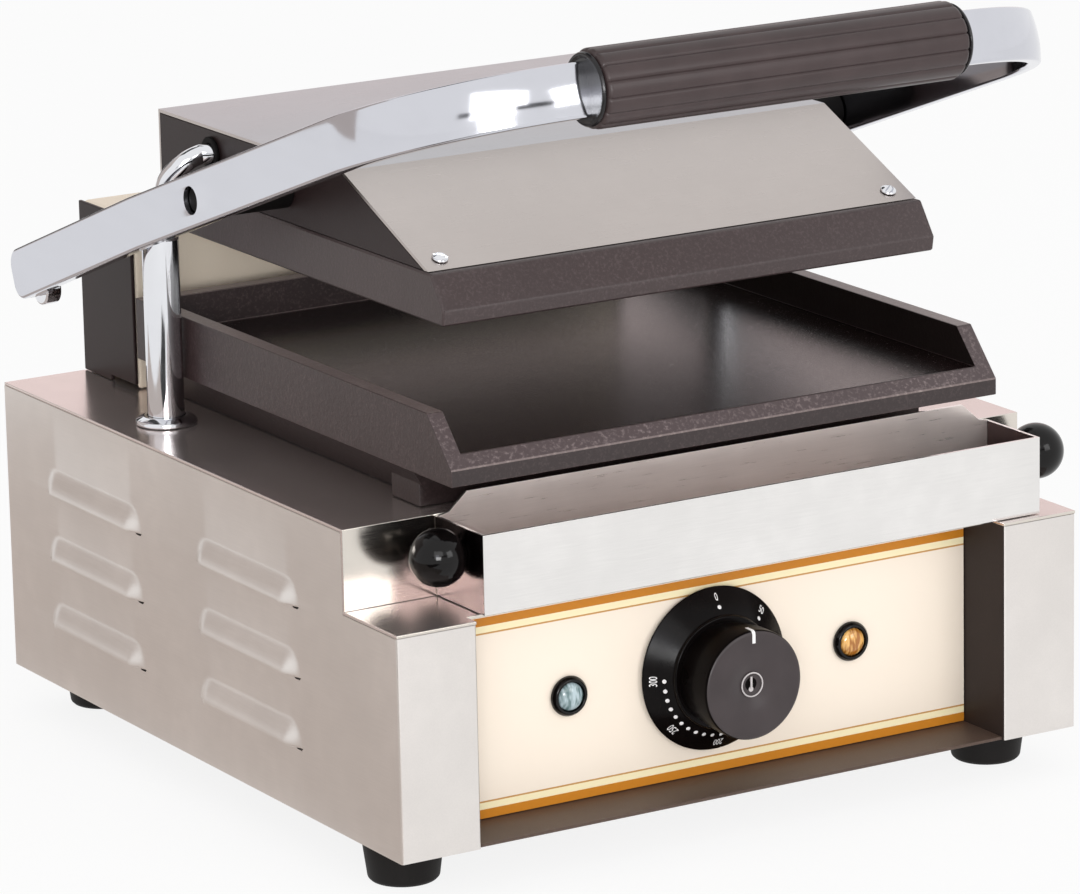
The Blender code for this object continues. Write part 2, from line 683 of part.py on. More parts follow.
# Feet: rubber, pushed through holes in the pan as far as a bead
for sx, sy, word in ((-1, -1, "front_left"), (1, -1, "front_right"), (-1, 1, "rear_left"),
                     (1, 1, "rear_right")):
    at = (sx * (FOOT_FRONT_X if sy < 0 else FOOT_REAR_X), -FOOT_FRONT_Y if sy < 0 else FOOT_REAR_Y, 0)
    foot_top = FOOT_H - FIT
    bead_low = Z_PAN + FIT
    profile = [
        (0, bead_low + FOOT_BEAD_H), (FOOT_STEM_D / 2 - FIT, bead_low + FOOT_BEAD_H),
        (FOOT_BEAD_D / 2, bead_low),
        (FOOT_STEM_D / 2 - FIT, bead_low), (FOOT_STEM_D / 2 - FIT, foot_top), (FOOT_TOP_D / 2, foot_top),
        (FOOT_BOTTOM_D / 2, FOOT_ROUND), (FOOT_BOTTOM_D / 2 - FOOT_ROUND, 0), (0, 0)]
    name = "foot_" + word
    placed(name, turned_mesh(name, profile, at, "+Z"), RUBBER, at)
    cut(pan, cylinder_mesh("foot_hole", (at[0], at[1], Z_UNDER - OVERRUN), SHEET + 2 * OVERRUN,
                           FOOT_STEM_D / 2, "Z"))

# Front panel with its openings
fascia_half = PILLAR_IN - FIT
fascia = block("front_panel", (-fascia_half, Y_FASCIA, Z_PAN + FIT),
               (fascia_half, Y_FASCIA + FASCIA_T, Z_LEDGE - SHEET - FIT), CREAM)
cut(fascia, cylinder_mesh("shaft_hole", (0, Y_FASCIA - OVERRUN, DIAL_Z), FASCIA_T + 2 * OVERRUN,
                          SHAFT_BORE_D / 2, "Y"))

# Dial: a flared fixed ring with the scale on its face
dial_profile = [
    (SHAFT_BORE_D / 2, FIT), (DIAL_D / 2, FIT), (DIAL_D / 2, DIAL_RIM_H),
    (DIAL_TOP_D / 2, DIAL_H - DIAL_RIM_H / 2),
    (DIAL_TOP_D / 2, DIAL_H), (SHAFT_BORE_D / 2, DIAL_H)]
placed("thermostat_dial", turned_mesh("thermostat_dial", dial_profile, (0, Y_FASCIA, DIAL_Z), "-Y", 32),
       BLACK,
       (0, Y_FASCIA, DIAL_Z))

# Knob, with a dished face and a raised pointer, and the shaft that it turns
knob_low = DIAL_H + FIT
knob_top = knob_low + KNOB_H
dish_low = knob_top - KNOB_DISH_H
socket_top = knob_low + KNOB_SOCKET_H
knob_profile = [
    (0, dish_low), (KNOB_DISH_D / 2 - KNOB_DISH_H, dish_low), (KNOB_DISH_D / 2, knob_top),
    (KNOB_D / 2 - KNOB_ROUND, knob_top), (KNOB_D / 2, knob_top - KNOB_ROUND),
    (KNOB_D / 2, knob_top - KNOB_H / 2), (KNOB_WAIST_D / 2, knob_low),
    (SHAFT_D / 2 + FIT, knob_low), (SHAFT_D / 2 + FIT, socket_top), (0, socket_top)]
knob = placed("thermostat_knob", turned_mesh("thermostat_knob", knob_profile, (0, Y_FASCIA, DIAL_Z),
                                             "-Y", 32),
              BLACK, (0, Y_FASCIA, DIAL_Z), knob_axis)
pointer_low = DIAL_Z + KNOB_DISH_D / 2
join(knob, box_mesh("pointer", (-POINTER_W / 2, Y_FASCIA - knob_top - POINTER_H, pointer_low),
                    (POINTER_W / 2, Y_FASCIA - knob_top + KNOB_DISH_H, DIAL_Z + KNOB_D / 2 - KNOB_ROUND)))
stat_front = Y_FASCIA + FASCIA_T + FIT
shaft_start = Y_FASCIA - socket_top + FIT
placed("thermostat_shaft", cylinder_mesh("thermostat_shaft", (0, shaft_start, DIAL_Z),
                                         stat_front + STAT_L / 3 - shaft_start, SHAFT_D / 2, "Y"),
       GALVANISED, (0, Y_FASCIA, DIAL_Z), knob_axis)

# Thermostat behind the panel, its thin tube, and its bulb beside the lower element
stat = block("thermostat_body", (-STAT_W / 2, stat_front, DIAL_Z - STAT_H / 2),
             (STAT_W / 2, stat_front + STAT_L, DIAL_Z + STAT_H / 2), CERAMIC)
cut(stat, cylinder_mesh("shaft_socket", (0, stat_front - OVERRUN, DIAL_Z), STAT_L / 3 + OVERRUN + FIT,
                        SHAFT_D / 2 + FIT, "Y"))

# Lamps: a bezel with a barrel through the panel, and a domed lens set in it
for side, word, lens in ((-1, "left", LENS_CLEAR), (1, "right", LENS_AMBER)):
    at = (side * LAMP_X, Y_FASCIA, LAMP_Z)
    cut(fascia, cylinder_mesh("lamp_hole", (at[0], Y_FASCIA - OVERRUN, LAMP_Z), FASCIA_T + 2 * OVERRUN,
                              LAMP_BARREL_D / 2 + FIT, "Y"))
    seat = LAMP_LENS_D / 2 - LAMP_LIP
    profile = [
        (LAMP_LENS_D / 2 - LAMP_LIP, -LAMP_BARREL_L), (LAMP_BARREL_D / 2, -LAMP_BARREL_L),
        (LAMP_BARREL_D / 2, FIT),
        (LAMP_BEZEL_D / 2, FIT), (LAMP_BEZEL_D / 2, LAMP_BEZEL_H / 2),
        (LAMP_LENS_D / 2 + LAMP_LIP, LAMP_BEZEL_H),
        (LAMP_LENS_D / 2 + FIT, LAMP_BEZEL_H), (LAMP_LENS_D / 2 + FIT, 2 * FIT), (seat, 2 * FIT)]
    name = "lamp_bezel_" + word
    placed(name, turned_mesh(name, profile, at, "-Y", 24), BLACK, at)
    lens_profile = [(0, LAMP_BEZEL_H + LAMP_LENS_OUT / 2)]
    for x, z in arc((0, 0), 1, 75, 15, 4):
        lens_profile.append((LAMP_LENS_D / 2 * x, LAMP_BEZEL_H - LAMP_LENS_OUT / 2 + LAMP_LENS_OUT * z))
    lens_profile += [(LAMP_LENS_D / 2, LAMP_BEZEL_H - LAMP_LENS_OUT / 2), (LAMP_LENS_D / 2, 3 * FIT),
                     (0, 3 * FIT)]
    name = "lamp_lens_" + word
    placed(name, turned_mesh(name, lens_profile, at, "-Y", 24), lens, at)

# Lower plate: a casting with raised side and rear rims, and one slope across its front
low_body = outline_mesh("lower_plate", [
    (-LOW_FRONT, LOW_SHOULDER), (LOW_REAR, LOW_SHOULDER), (LOW_REAR, LOW_TOP), (-LOW_FRONT, LOW_TOP)],
    -LOW_HALF, LOW_HALF, "X")
lower = placed("lower_plate", low_body, IRON, (0, 0, LOW_FLOOR))
low_base = Z_DECK + FIT


def taper_mesh(name, low, high, foot_low, foot_high):
    """A block with an outline of its own at its foot, between foot_low and foot_high."""
    bm = bmesh.new()
    bmesh.ops.create_cube(bm, size=1)
    for vert in bm.verts:
        ends = (low, high) if vert.co.z > 0 else (foot_low, foot_high)
        x = ends[1][0] if vert.co.x > 0 else ends[0][0]
        y = ends[1][1] if vert.co.y > 0 else ends[0][1]
        vert.co = (x, y, high[2] if vert.co.z > 0 else low[2])
    return mesh_of(name, bm)


foot_half = LOW_HALF - LOW_FOOT_SIDE
join(lower, taper_mesh("lower_foot", (-LOW_HALF + FIT, -LOW_SKIRT_FRONT, low_base),
                       (LOW_HALF - FIT, LOW_REAR - FIT, LOW_SHOULDER + OVERRUN),
                       (-foot_half, -LOW_FOOT_FRONT), (foot_half, LOW_FOOT_REAR)))
for side in (-1, 1):
    a, b = sorted((side * (LOW_TOE_OUT - LOW_TOE_IN), side * LOW_TOE_OUT))
    join(lower, box_mesh("toe", (a, -LOW_TOE_FRONT, low_base), (b, LOW_TOE_L - LOW_TOE_FRONT, LOW_TOE_TOP)))
rim_in = LOW_HALF - LOW_RIM_T
rim_rise = (LOW_TOP - LOW_EDGE) / LOW_RIM_BACK
slope_low = LOW_EDGE - OVERRUN * rim_rise
slope_high = LOW_TOP + OVERRUN * rim_rise
cut(lower,
    box_mesh("cooking_hollow", (-rim_in, -LOW_FRONT - OVERRUN, LOW_FLOOR),
             (rim_in, LOW_REAR - LOW_RIM_T, LOW_TOP + OVERRUN)),
    outline_mesh("front_slope", [
        (-LOW_FRONT - OVERRUN, slope_low), (-LOW_RIM_FRONT + OVERRUN, slope_high),
        (-LOW_FRONT - OVERRUN, slope_high)], -LOW_HALF - OVERRUN, LOW_HALF + OVERRUN, "X"),
    box_mesh("element_hollow", (-LOW_HOLLOW_W / 2, -LOW_HOLLOW_FRONT, low_base - OVERRUN),
             (LOW_HOLLOW_W / 2, LOW_HOLLOW_REAR, LOW_HOLLOW_TOP)))
soften(lower, LOW_ROUND)


def element_points(z, middle, lead_y, lead_z):
    """A double hairpin that lies flat and ends in two leads."""
    half = ELEMENT_W / 2
    bend = half / 2
    pts = [(-half - bend, lead_y, lead_z), (-half - bend, lead_y, z)]
    pts += [(x, y, z) for x, y in arc((-half, middle - ELEMENT_LEG), bend, 180, 360, 8)]
    pts += [(x, y, z) for x, y in arc((0, middle + ELEMENT_LEG - bend), bend, 180, 0, 8)]
    pts += [(x, y, z) for x, y in arc((half, middle - ELEMENT_LEG), bend, 180, 360, 8)]
    pts += [(half + bend, lead_y, z), (half + bend, lead_y, lead_z)]
    return pts


# Lower element, clamp plate, insulation and heat shield, stacked up into the plate's hollow
low_el_z = LOW_HOLLOW_TOP - FIT - ELEMENT_D / 2
low_clamp_top = low_el_z - ELEMENT_D / 2 - FIT
low_pad_top = low_clamp_top - CLAMP_T - FIT
low_pad_low = low_pad_top - PAD_T
shield_top = low_pad_low - FIT
lead_y = deck_hole_mid + ELEMENT_LEG
low_lead_z = shield_top - SHEET - PAD_T
placed("lower_element", wire_mesh("lower_element", element_points(low_el_z, deck_hole_mid, lead_y,
                                                                  low_lead_z), ELEMENT_D),
       SHEATH, (0, deck_hole_mid, low_el_z))
lead_x = ELEMENT_W / 2 + ELEMENT_W / 4
clamp_x = DECK_HOLE_W / 2 - CLAMP_MARGIN
clamp_y = DECK_HOLE_D / 2 - CLAMP_MARGIN
bulb_x = lead_x + ELEMENT_D + CLAMP_MARGIN


def drilled(body, low, high, places, radius):
    for x, y in places:
        cut(body, cylinder_mesh("lead_hole", (x, y, low - OVERRUN), high - low + 2 * OVERRUN, radius,
                                "Z", sides=16))


leads = [(-lead_x, lead_y), (lead_x, lead_y)]
tube_place = [(bulb_x, deck_hole_mid - BULB_L / 2 - BULB_D)]
for name, low_z, high_z, mat in (("lower_element_clamp", low_clamp_top - CLAMP_T, low_clamp_top,
                                  GALVANISED),
                                 ("lower_insulation", low_pad_low, low_pad_top, WOOL)):
    piece = block(name, (-clamp_x, deck_hole_mid - clamp_y, low_z),
                  (clamp_x, deck_hole_mid + clamp_y, high_z), mat)
    drilled(piece, low_z, high_z, leads, ELEMENT_D / 2 + FIT)
    drilled(piece, low_z, high_z, tube_place, CAPILLARY_D + FIT)
shield_x = DECK_HOLE_W / 2 + SHIELD_RIM
shield_y = DECK_HOLE_D / 2 + SHIELD_RIM
rim_top = Z_DECK - SHEET - FIT
shield = block("lower_heat_shield", (-shield_x, deck_hole_mid - shield_y, shield_top - SHEET),
               (shield_x, deck_hole_mid + shield_y, rim_top), GALVANISED)
pocket_x = clamp_x + FIT
pocket_y = clamp_y + FIT
cut(shield, box_mesh("pad_pocket", (-pocket_x, deck_hole_mid - pocket_y, shield_top),
                     (pocket_x, deck_hole_mid + pocket_y, rim_top + OVERRUN)))
drilled(shield, shield_top - SHEET, shield_top, leads, ELEMENT_D / 2 + FIT)
drilled(shield, shield_top - SHEET, shield_top, tube_place, CAPILLARY_D + FIT)
bulb_z = low_clamp_top + FIT + BULB_D / 2
bulb_start = deck_hole_mid - BULB_L / 2
bulb = placed("thermostat_bulb", cylinder_mesh("thermostat_bulb", (bulb_x, bulb_start, bulb_z), BULB_L,
                                               BULB_D / 2, "Y", sides=12),
              BRASS, (bulb_x, deck_hole_mid, bulb_z))
tube_x, tube_y = tube_place[0]
stat_rear = stat_front + STAT_L
tube_out = (STAT_W / 4, stat_rear, DIAL_Z + STAT_H / 4)
tube_points = [Vector((tube_out[0], stat_rear - BULB_D / 3, tube_out[2]))] + smooth_path([
    (tube_out[0], stat_rear + BULB_D / 3, tube_out[2]),
    (tube_out[0], stat_rear + BULB_D, tube_out[2] + BULB_D / 3),
    (tube_x, tube_y, shield_top - SHEET - PAD_T), (tube_x, tube_y, shield_top),
    (tube_x, tube_y, low_clamp_top - CLAMP_T),
    (tube_x, tube_y, low_clamp_top + CLAMP_T), (tube_x, bulb_start + BULB_D / 6, bulb_z)], 5)
join(bulb, wire_mesh("thin_tube", tube_points, CAPILLARY_D, 1))
cut(stat, cylinder_mesh("tube_socket", (STAT_W / 4, stat_front + STAT_L - BULB_D, DIAL_Z + STAT_H / 4),
                        2 * BULB_D,
                        CAPILLARY_D, "Y", sides=12))

# Terminal block on the pan, and the wires from it
block_y = Y_REAR - SHEET - GLAND_IN - 2 * BLOCK_D
terminal = block("terminal_block", (GLAND_X - BLOCK_W / 3, block_y, Z_PAN + FIT),
                 (GLAND_X + BLOCK_W * 2 / 3, block_y + BLOCK_D, Z_PAN + FIT + BLOCK_H), CERAMIC)
wire_ends = [(0, stat_front + STAT_L + FIT, DIAL_Z - STAT_H / 4), (-lead_x, lead_y, low_lead_z - FIT),
             (lead_x, lead_y, low_lead_z - FIT)]
wire_step = WIRE_D + 2 * FIT
block_top = Z_PAN + FIT + BLOCK_H
tie_y = block_y - BLOCK_D
tie_z = block_top + BLOCK_H / 2
wire_meshes = []
for pole in range(BLOCK_POLES):
    x = GLAND_X + BLOCK_W * (pole - 1) / 3 + BLOCK_W / 6
    y = block_y + BLOCK_D / 2
    cut(terminal, cylinder_mesh("pole", (x, y, block_top - BLOCK_HOLE_H), BLOCK_HOLE_H + OVERRUN,
                                BLOCK_HOLE_D / 2,
                                "Z", sides=12))
    end = wire_ends[pole]
    tie_x = GLAND_X + BLOCK_W / 6 + (pole - 1) * wire_step
    last = (end[0], end[1] + BLOCK_D / 3, end[2]) if pole == 0 else (end[0], end[1], end[2] - BLOCK_H / 2)
    start = Vector((x, y, block_top - BLOCK_HOLE_H + FIT))
    route = [(x, y, block_top + WIRE_D), (tie_x, tie_y + BLOCK_D / 2, tie_z),
             (tie_x, tie_y, tie_z), (tie_x, tie_y - BLOCK_D / 2, tie_z), last]
    wire_meshes.append(wire_mesh("wire", [start, *smooth_path(route, 3), Vector(end)], WIRE_D, 1))
tie_at = (GLAND_X + BLOCK_W / 6, tie_y, tie_z)
loom = placed("wiring_loom", box_mesh("wiring_loom",
                                      (tie_at[0] - WIRE_D * 2, tie_y - WIRE_D, tie_z - WIRE_D),
                                      (tie_at[0] + WIRE_D * 2, tie_y + WIRE_D, tie_z + WIRE_D)), WIRE,
              tie_at)
join(loom, *wire_meshes)

# Rear box: a folded bright cover between two dark side plates
box_half = BOX_W / 2
box_low = Z_DECK + FIT
box_outline = [(Y_BOX, box_low), (Y_REAR, box_low), (Y_REAR, BOX_TOP), (Y_BOX, BOX_TOP)]
cover_half = box_half - BOX_SIDE_T - FIT
cover = placed("rear_box_cover", outline_mesh("rear_box_cover", box_outline, -cover_half, cover_half,
                                              "X"), COVER,
               (0, Y_REAR, box_low))
soften(cover, BOX_BEND)
cut(cover, box_mesh("inside", (-cover_half - OVERRUN, Y_BOX + SHEET, box_low - OVERRUN),
                    (cover_half + OVERRUN, Y_REAR - SHEET, BOX_TOP - SHEET)))
for side, word in ((-1, "left"), (1, "right")):
    a, b = sorted((side * box_half, side * (box_half - BOX_SIDE_T)))
    name = "rear_box_side_" + word
    plate = placed(name, outline_mesh(name, box_outline, a, b, "X"), DARK,
                   (side * box_half, Y_REAR, box_low))
    cut(plate, box_mesh("foot_notch", (a - OVERRUN, Y_BOX - OVERRUN, box_low - OVERRUN),
                        (b + OVERRUN, Y_BOX + BOX_NOTCH_L, box_low + BOX_NOTCH_H)))

# Posts in their guides, with springs below and the bent rods above
guide_low = Z_PAN + FIT
post_low = Z_DECK - POST_IN
rod_end = LID_HALF - ROD_IN
for side, word in ((-1, "left"), (1, "right")):
    at = (side * POST_X, POST_Y, 0)
    profile = [
        (POST_D / 2 + FIT, Z_DECK + FIT + COLLAR_H), (COLLAR_NECK_D / 2, Z_DECK + FIT + COLLAR_H),
        (COLLAR_D / 2, Z_DECK + FIT + COLLAR_RIM_H), (COLLAR_D / 2, Z_DECK + FIT),
        (GUIDE_D / 2, Z_DECK + FIT), (GUIDE_D / 2, guide_low), (POST_D / 2 + FIT, guide_low)]
    name = "post_guide_" + word
    placed(name, turned_mesh(name, profile, at, "+Z"), CHROME, (at[0], at[1], Z_DECK))
    profile = [
        (0, POST_TOP), (POST_D / 2 - POST_CHAMFER, POST_TOP), (POST_D / 2, POST_TOP - POST_CHAMFER),
        (POST_D / 2, post_low), (0, post_low)]
    name = "post_" + word
    placed(name, turned_mesh(name, profile, at, "+Z"), CHROME, (at[0], at[1], POST_TOP), carriage)
    spring_low = guide_low + SPRING_WIRE_D / 2
    spring_high = post_low - FIT - SPRING_WIRE_D / 2
    radius = POST_D / 2 - SPRING_WIRE_D
    coil = []
    for i in range(SPRING_TURNS * SPRING_STEPS + 1):
        angle = 2 * math.pi * i / SPRING_STEPS
        share = i / (SPRING_TURNS * SPRING_STEPS)
        coil.append((at[0] + radius * math.cos(angle), at[1] + radius * math.sin(angle),
                     spring_low + (spring_high - spring_low) * share))
    name = "post_spring_" + word
    placed(name, wire_mesh(name, coil, SPRING_WIRE_D, 1), SPRING, (at[0], at[1], guide_low))
    # the rod stands a little inward on the post's top, bends over in a quarter turn and runs straight in through the bush
    straight = LID_HALF + ROD_OUT
    upright = POST_X - ROD_SIDE_IN
    rise = AXIS_Z - ROD_BEND_START
    ease = rise * ROD_CORNER_SHARE
    route = [(side * upright, POST_Y, ROD_BEND_START - ease), (side * upright, POST_Y, ROD_BEND_START),
             (side * (upright - ease / 2), POST_Y - ease, ROD_BEND_START + rise / 2),
             (side * (upright + straight) / 2, (POST_Y + AXIS_Y) / 2 - ease, AXIS_Z - ease),
             (side * (straight + ease / 2), AXIS_Y + ease / 2, AXIS_Z)]
    path = [Vector((side * upright, POST_Y, POST_TOP + FIT)), *smooth_path(route, 5),
            Vector((side * straight, AXIS_Y, AXIS_Z)), Vector((side * rod_end, AXIS_Y, AXIS_Z))]
    name = "hinge_rod_" + word
    placed(name, wire_mesh(name, path, ROD_D, 3), CHROME, (side * straight, AXIS_Y, AXIS_Z), carriage)

# Lid: cast upper plate, dark side plates, bright folded cover
up_outline = [
    (UP_REAR, UP_BOTTOM), (UP_REAR, UP_TOP), (-UP_FRONT_TOP, UP_TOP), (-UP_RIDGE, UP_RIDGE_Z),
    (-UP_FRONT_LOW, UP_BOTTOM)]
upper = placed("upper_plate", outline_mesh("upper_plate", up_outline, -UP_HALF, UP_HALF, "X"), IRON,
               axis_at, lid_axis)
soften(upper, LOW_ROUND / 2)
cut(upper, box_mesh("element_hollow", (-UP_HOLLOW_W / 2, -UP_HOLLOW_FRONT, UP_HOLLOW_FLOOR),
                    (UP_HOLLOW_W / 2, UP_HOLLOW_REAR, UP_TOP + OVERRUN)))
lid_low = UP_TOP + FIT
lid_in = SHEET + FIT
slope = math.atan2(LID_TOP - lid_low, LID_FRONT - LID_BREAK)
cover_outline = [
    (LID_REAR, lid_low), (LID_REAR, LID_TOP), (-LID_BREAK, LID_TOP), (-LID_FRONT, lid_low),
    (-LID_FRONT + SHEET / math.sin(slope), lid_low),
    (-LID_BREAK + SHEET * math.tan(slope / 2), LID_TOP - SHEET),
    (LID_REAR - SHEET, LID_TOP - SHEET), (LID_REAR - SHEET, lid_low)]
lid_cover = placed("lid_cover", outline_mesh("lid_cover", cover_outline, -LID_HALF, LID_HALF, "X"),
                   COVER, axis_at, lid_axis)
inside_outline = [
    (LID_REAR - lid_in, lid_low), (LID_REAR - lid_in, LID_TOP - lid_in),
    (-LID_BREAK + lid_in * math.tan(slope / 2), LID_TOP - lid_in),
    (-LID_FRONT + lid_in / math.sin(slope), lid_low)]
for side, word in ((-1, "left"), (1, "right")):
    a, b = sorted((side * LID_HALF, side * (LID_HALF - LID_SIDE_T)))
    name = "lid_side_" + word
    plate = placed(name, outline_mesh(name, inside_outline, a, b, "X"), DARK, axis_at, lid_axis)
    cut(plate,
        cylinder_mesh("bush_hole", (a - OVERRUN, AXIS_Y, AXIS_Z), b - a + 2 * OVERRUN, BUSH_D / 2 + FIT,
                      "X"),
        cylinder_mesh("pivot_hole", (a - OVERRUN, PIVOT_Y, PIVOT_Z), b - a + 2 * OVERRUN,
                      PIVOT_PIN_D / 2 + FIT, "X"))
    toward = "+X" if side > 0 else "-X"
    profile = [
        (ROD_D / 2 + FIT, LID_HALF + FIT + BUSH_LIP_T), (BUSH_LIP_D / 2, LID_HALF + FIT + BUSH_LIP_T),
        (BUSH_LIP_D / 2, LID_HALF + FIT), (BUSH_D / 2, LID_HALF + FIT), (BUSH_D / 2, LID_HALF - BUSH_IN),
        (ROD_D / 2 + FIT, LID_HALF - BUSH_IN)]
    name = "hinge_bush_" + word
    placed(name, turned_mesh(name, profile, (0, AXIS_Y, AXIS_Z), toward), BLACK, axis_at, lid_axis)

    # the handle's pivot: a spacer outside the lid, a pin through the arm, a riveted head inside
    out_end = ARM_HALF - PIVOT_SINK
    head_top = LID_HALF - LID_SIDE_T - FIT
    profile = [
        (0, out_end - PIVOT_HEX_H), (PIVOT_HEX_D / 2, out_end - PIVOT_HEX_H),
        (PIVOT_HEX_D / 2, out_end), (PIVOT_PIN_D / 2, out_end),
        (PIVOT_PIN_D / 2, ARM_IN - FIT), (PIVOT_SPACER_D / 2, ARM_IN - FIT),
        (PIVOT_SPACER_D / 2, LID_HALF + FIT),
        (PIVOT_PIN_D / 2, LID_HALF + FIT), (PIVOT_PIN_D / 2, head_top), (PIVOT_HEAD_D / 2, head_top),
        (PIVOT_HEAD_D / 2, head_top - PIVOT_HEAD_H), (0, head_top - PIVOT_HEAD_H)]
    name = "handle_pivot_" + word
    placed(name, turned_mesh(name, profile, (0, PIVOT_Y, PIVOT_Z), toward), BLACK,
           (0, PIVOT_Y, PIVOT_Z), lid_axis)

# Upper element, clamp and insulation in the lid
up_el_z = UP_HOLLOW_FLOOR + FIT + ELEMENT_D / 2
up_mid = (UP_HOLLOW_REAR - UP_HOLLOW_FRONT) / 2
up_clamp_low = up_el_z + ELEMENT_D / 2 + FIT
up_pad_low = up_clamp_low + CLAMP_T + FIT
up_lead_y = up_mid + ELEMENT_LEG
up_lead_z = up_pad_low + PAD_T + CLAMP_T
placed("upper_element", wire_mesh("upper_element", element_points(up_el_z, up_mid, up_lead_y,
                                                                  up_lead_z), ELEMENT_D),
       SHEATH, axis_at, lid_axis)
up_x = UP_HOLLOW_W / 2 - CLAMP_MARGIN
up_y = (UP_HOLLOW_REAR + UP_HOLLOW_FRONT) / 2 - CLAMP_MARGIN
up_front_in = -LID_FRONT + lid_in / math.sin(slope)
for name, low_z, thick, mat in (("upper_element_clamp", up_clamp_low, CLAMP_T, GALVANISED),
                                ("upper_insulation", up_pad_low, PAD_T, WOOL)):
    reach = (low_z + thick - lid_low) / math.tan(slope)
    front_y = max(up_mid - up_y, up_front_in + reach + CLAMP_MARGIN)
    piece = block(name, (-up_x, front_y, low_z), (up_x, up_mid + up_y, low_z + thick), mat, lid_axis)
    drilled(piece, low_z, low_z + thick, [(-lead_x, up_lead_y), (lead_x, up_lead_y)], ELEMENT_D / 2 + FIT)

# Cover screws on the slope
down = Vector((0, -math.cos(slope), -math.sin(slope)))
out = Vector((0, -math.sin(slope), math.cos(slope)))
corner = Vector((0, -LID_FRONT, lid_low))
seat = corner - down * LID_SCREW_DOWN
for side, word in ((-1, "left"), (1, "right")):
    centre = seat + Vector((side * LID_SCREW_X, 0, 0))
    profile = [
        (0, LID_SCREW_H), (LID_SCREW_D / 3, LID_SCREW_H), (LID_SCREW_D / 2, LID_SCREW_H / 2),
        (LID_SCREW_D / 2, FIT),
        (LID_SCREW_SHANK_D / 2, FIT), (LID_SCREW_SHANK_D / 2, -LID_SCREW_L + LID_SCREW_H),
        (0, -LID_SCREW_L + LID_SCREW_H)]
    mesh = turned_mesh("screw", profile, (0, 0, 0), "+Z", 16)
    turn = Matrix.Translation(centre) @ out.to_track_quat("Z", "Y").to_matrix().to_4x4()
    mesh.transform(turn)
    placed("lid_screw_" + word, mesh, CHROME, centre, lid_axis)
    for body in (lid_cover, upper):
        hole = cylinder_mesh("screw_hole", (0, 0, -LID_SCREW_L), 2 * LID_SCREW_L,
                             LID_SCREW_SHANK_D / 2 + FIT, "Z", sides=16)
        hole.transform(turn)
        cut(body, hole)

# Handle bar: a flat bar bent to a U, with rounded rear ends and a pivot hole in each arm
front = GRIP_FRONT + BAR_T / 2
bend_in = BAR_BEND_R - BAR_T
u_outline = [(ARM_HALF, ARM_REAR)]
u_outline += arc((ARM_HALF - BAR_BEND_R, -front + BAR_BEND_R), BAR_BEND_R, 0, -90, 8)
u_outline += arc((-ARM_HALF + BAR_BEND_R, -front + BAR_BEND_R), BAR_BEND_R, -90, -180, 8)
u_outline += [(-ARM_HALF, ARM_REAR), (-ARM_IN, ARM_REAR)]
u_outline += arc((-ARM_HALF + BAR_BEND_R, -front + BAR_BEND_R), bend_in, -180, -90, 8)
u_outline += arc((ARM_HALF - BAR_BEND_R, -front + BAR_BEND_R), bend_in, -90, 0, 8)
u_outline += [(ARM_IN, ARM_REAR)]
bar = placed("handle_bar", outline_mesh("handle_bar", u_outline, -BAR_H, BAR_H, "Z"), CHROME, (0, 0, 0),
             handle_axis, True)
half = BAR_H / 2
end_low = -half - REAR_DROP
end_high = half - REAR_DROP
silhouette = [(-front - OVERRUN, -half), (REAR_BEND, -half)]
silhouette += arc((ARM_REAR - ARM_CORNER, end_low + ARM_CORNER), ARM_CORNER, -90, 0, 4)
silhouette += arc((ARM_REAR - END_LEAN - ARM_CORNER, end_high - ARM_CORNER), ARM_CORNER, 0, 90, 4)
silhouette += [(REAR_BEND, half), (-front - OVERRUN, half)]
shape_with(bar, outline_mesh("arm_side_view", silhouette, -ARM_HALF - OVERRUN, ARM_HALF + OVERRUN, "X"),
           "INTERSECT")
cut(bar, cylinder_mesh("pivot_holes", (-ARM_HALF - OVERRUN, 0, 0), 2 * (ARM_HALF + OVERRUN),
                       PIVOT_HOLE_D / 2, "X"))
soften(bar, BAR_ROUND, 1, 50)
for side in (-1, 1):
    a, b = sorted((side * (ARM_IN - OVERRUN), side * (ARM_HALF - BAR_T / 2)))
    cut(bar, cylinder_mesh("stud_hole", (a, STUD_BACK, -STUD_DROP), b - a, STUD_PIN_D / 2 + FIT, "X",
                           sides=16))

# Stop studs: a rubber-faced stud on the inner face of each arm's rear end
for side, word in ((-1, "left"), (1, "right")):
    toward = "+X" if side > 0 else "-X"
    pin_end = ARM_HALF - BAR_T / 2 - FIT
    profile = [
        (0, pin_end), (STUD_PIN_D / 2, pin_end), (STUD_PIN_D / 2, ARM_IN - FIT), (STUD_D / 2, ARM_IN - FIT),
        (STUD_D / 2, ARM_IN - STUD_L), (0, ARM_IN - STUD_L)]
    name = "stop_stud_" + word
    placed(name, turned_mesh(name, profile, (0, STUD_BACK, -STUD_DROP), toward, 20), CHROME,
           (side * ARM_IN, STUD_BACK, -STUD_DROP), handle_axis, True)

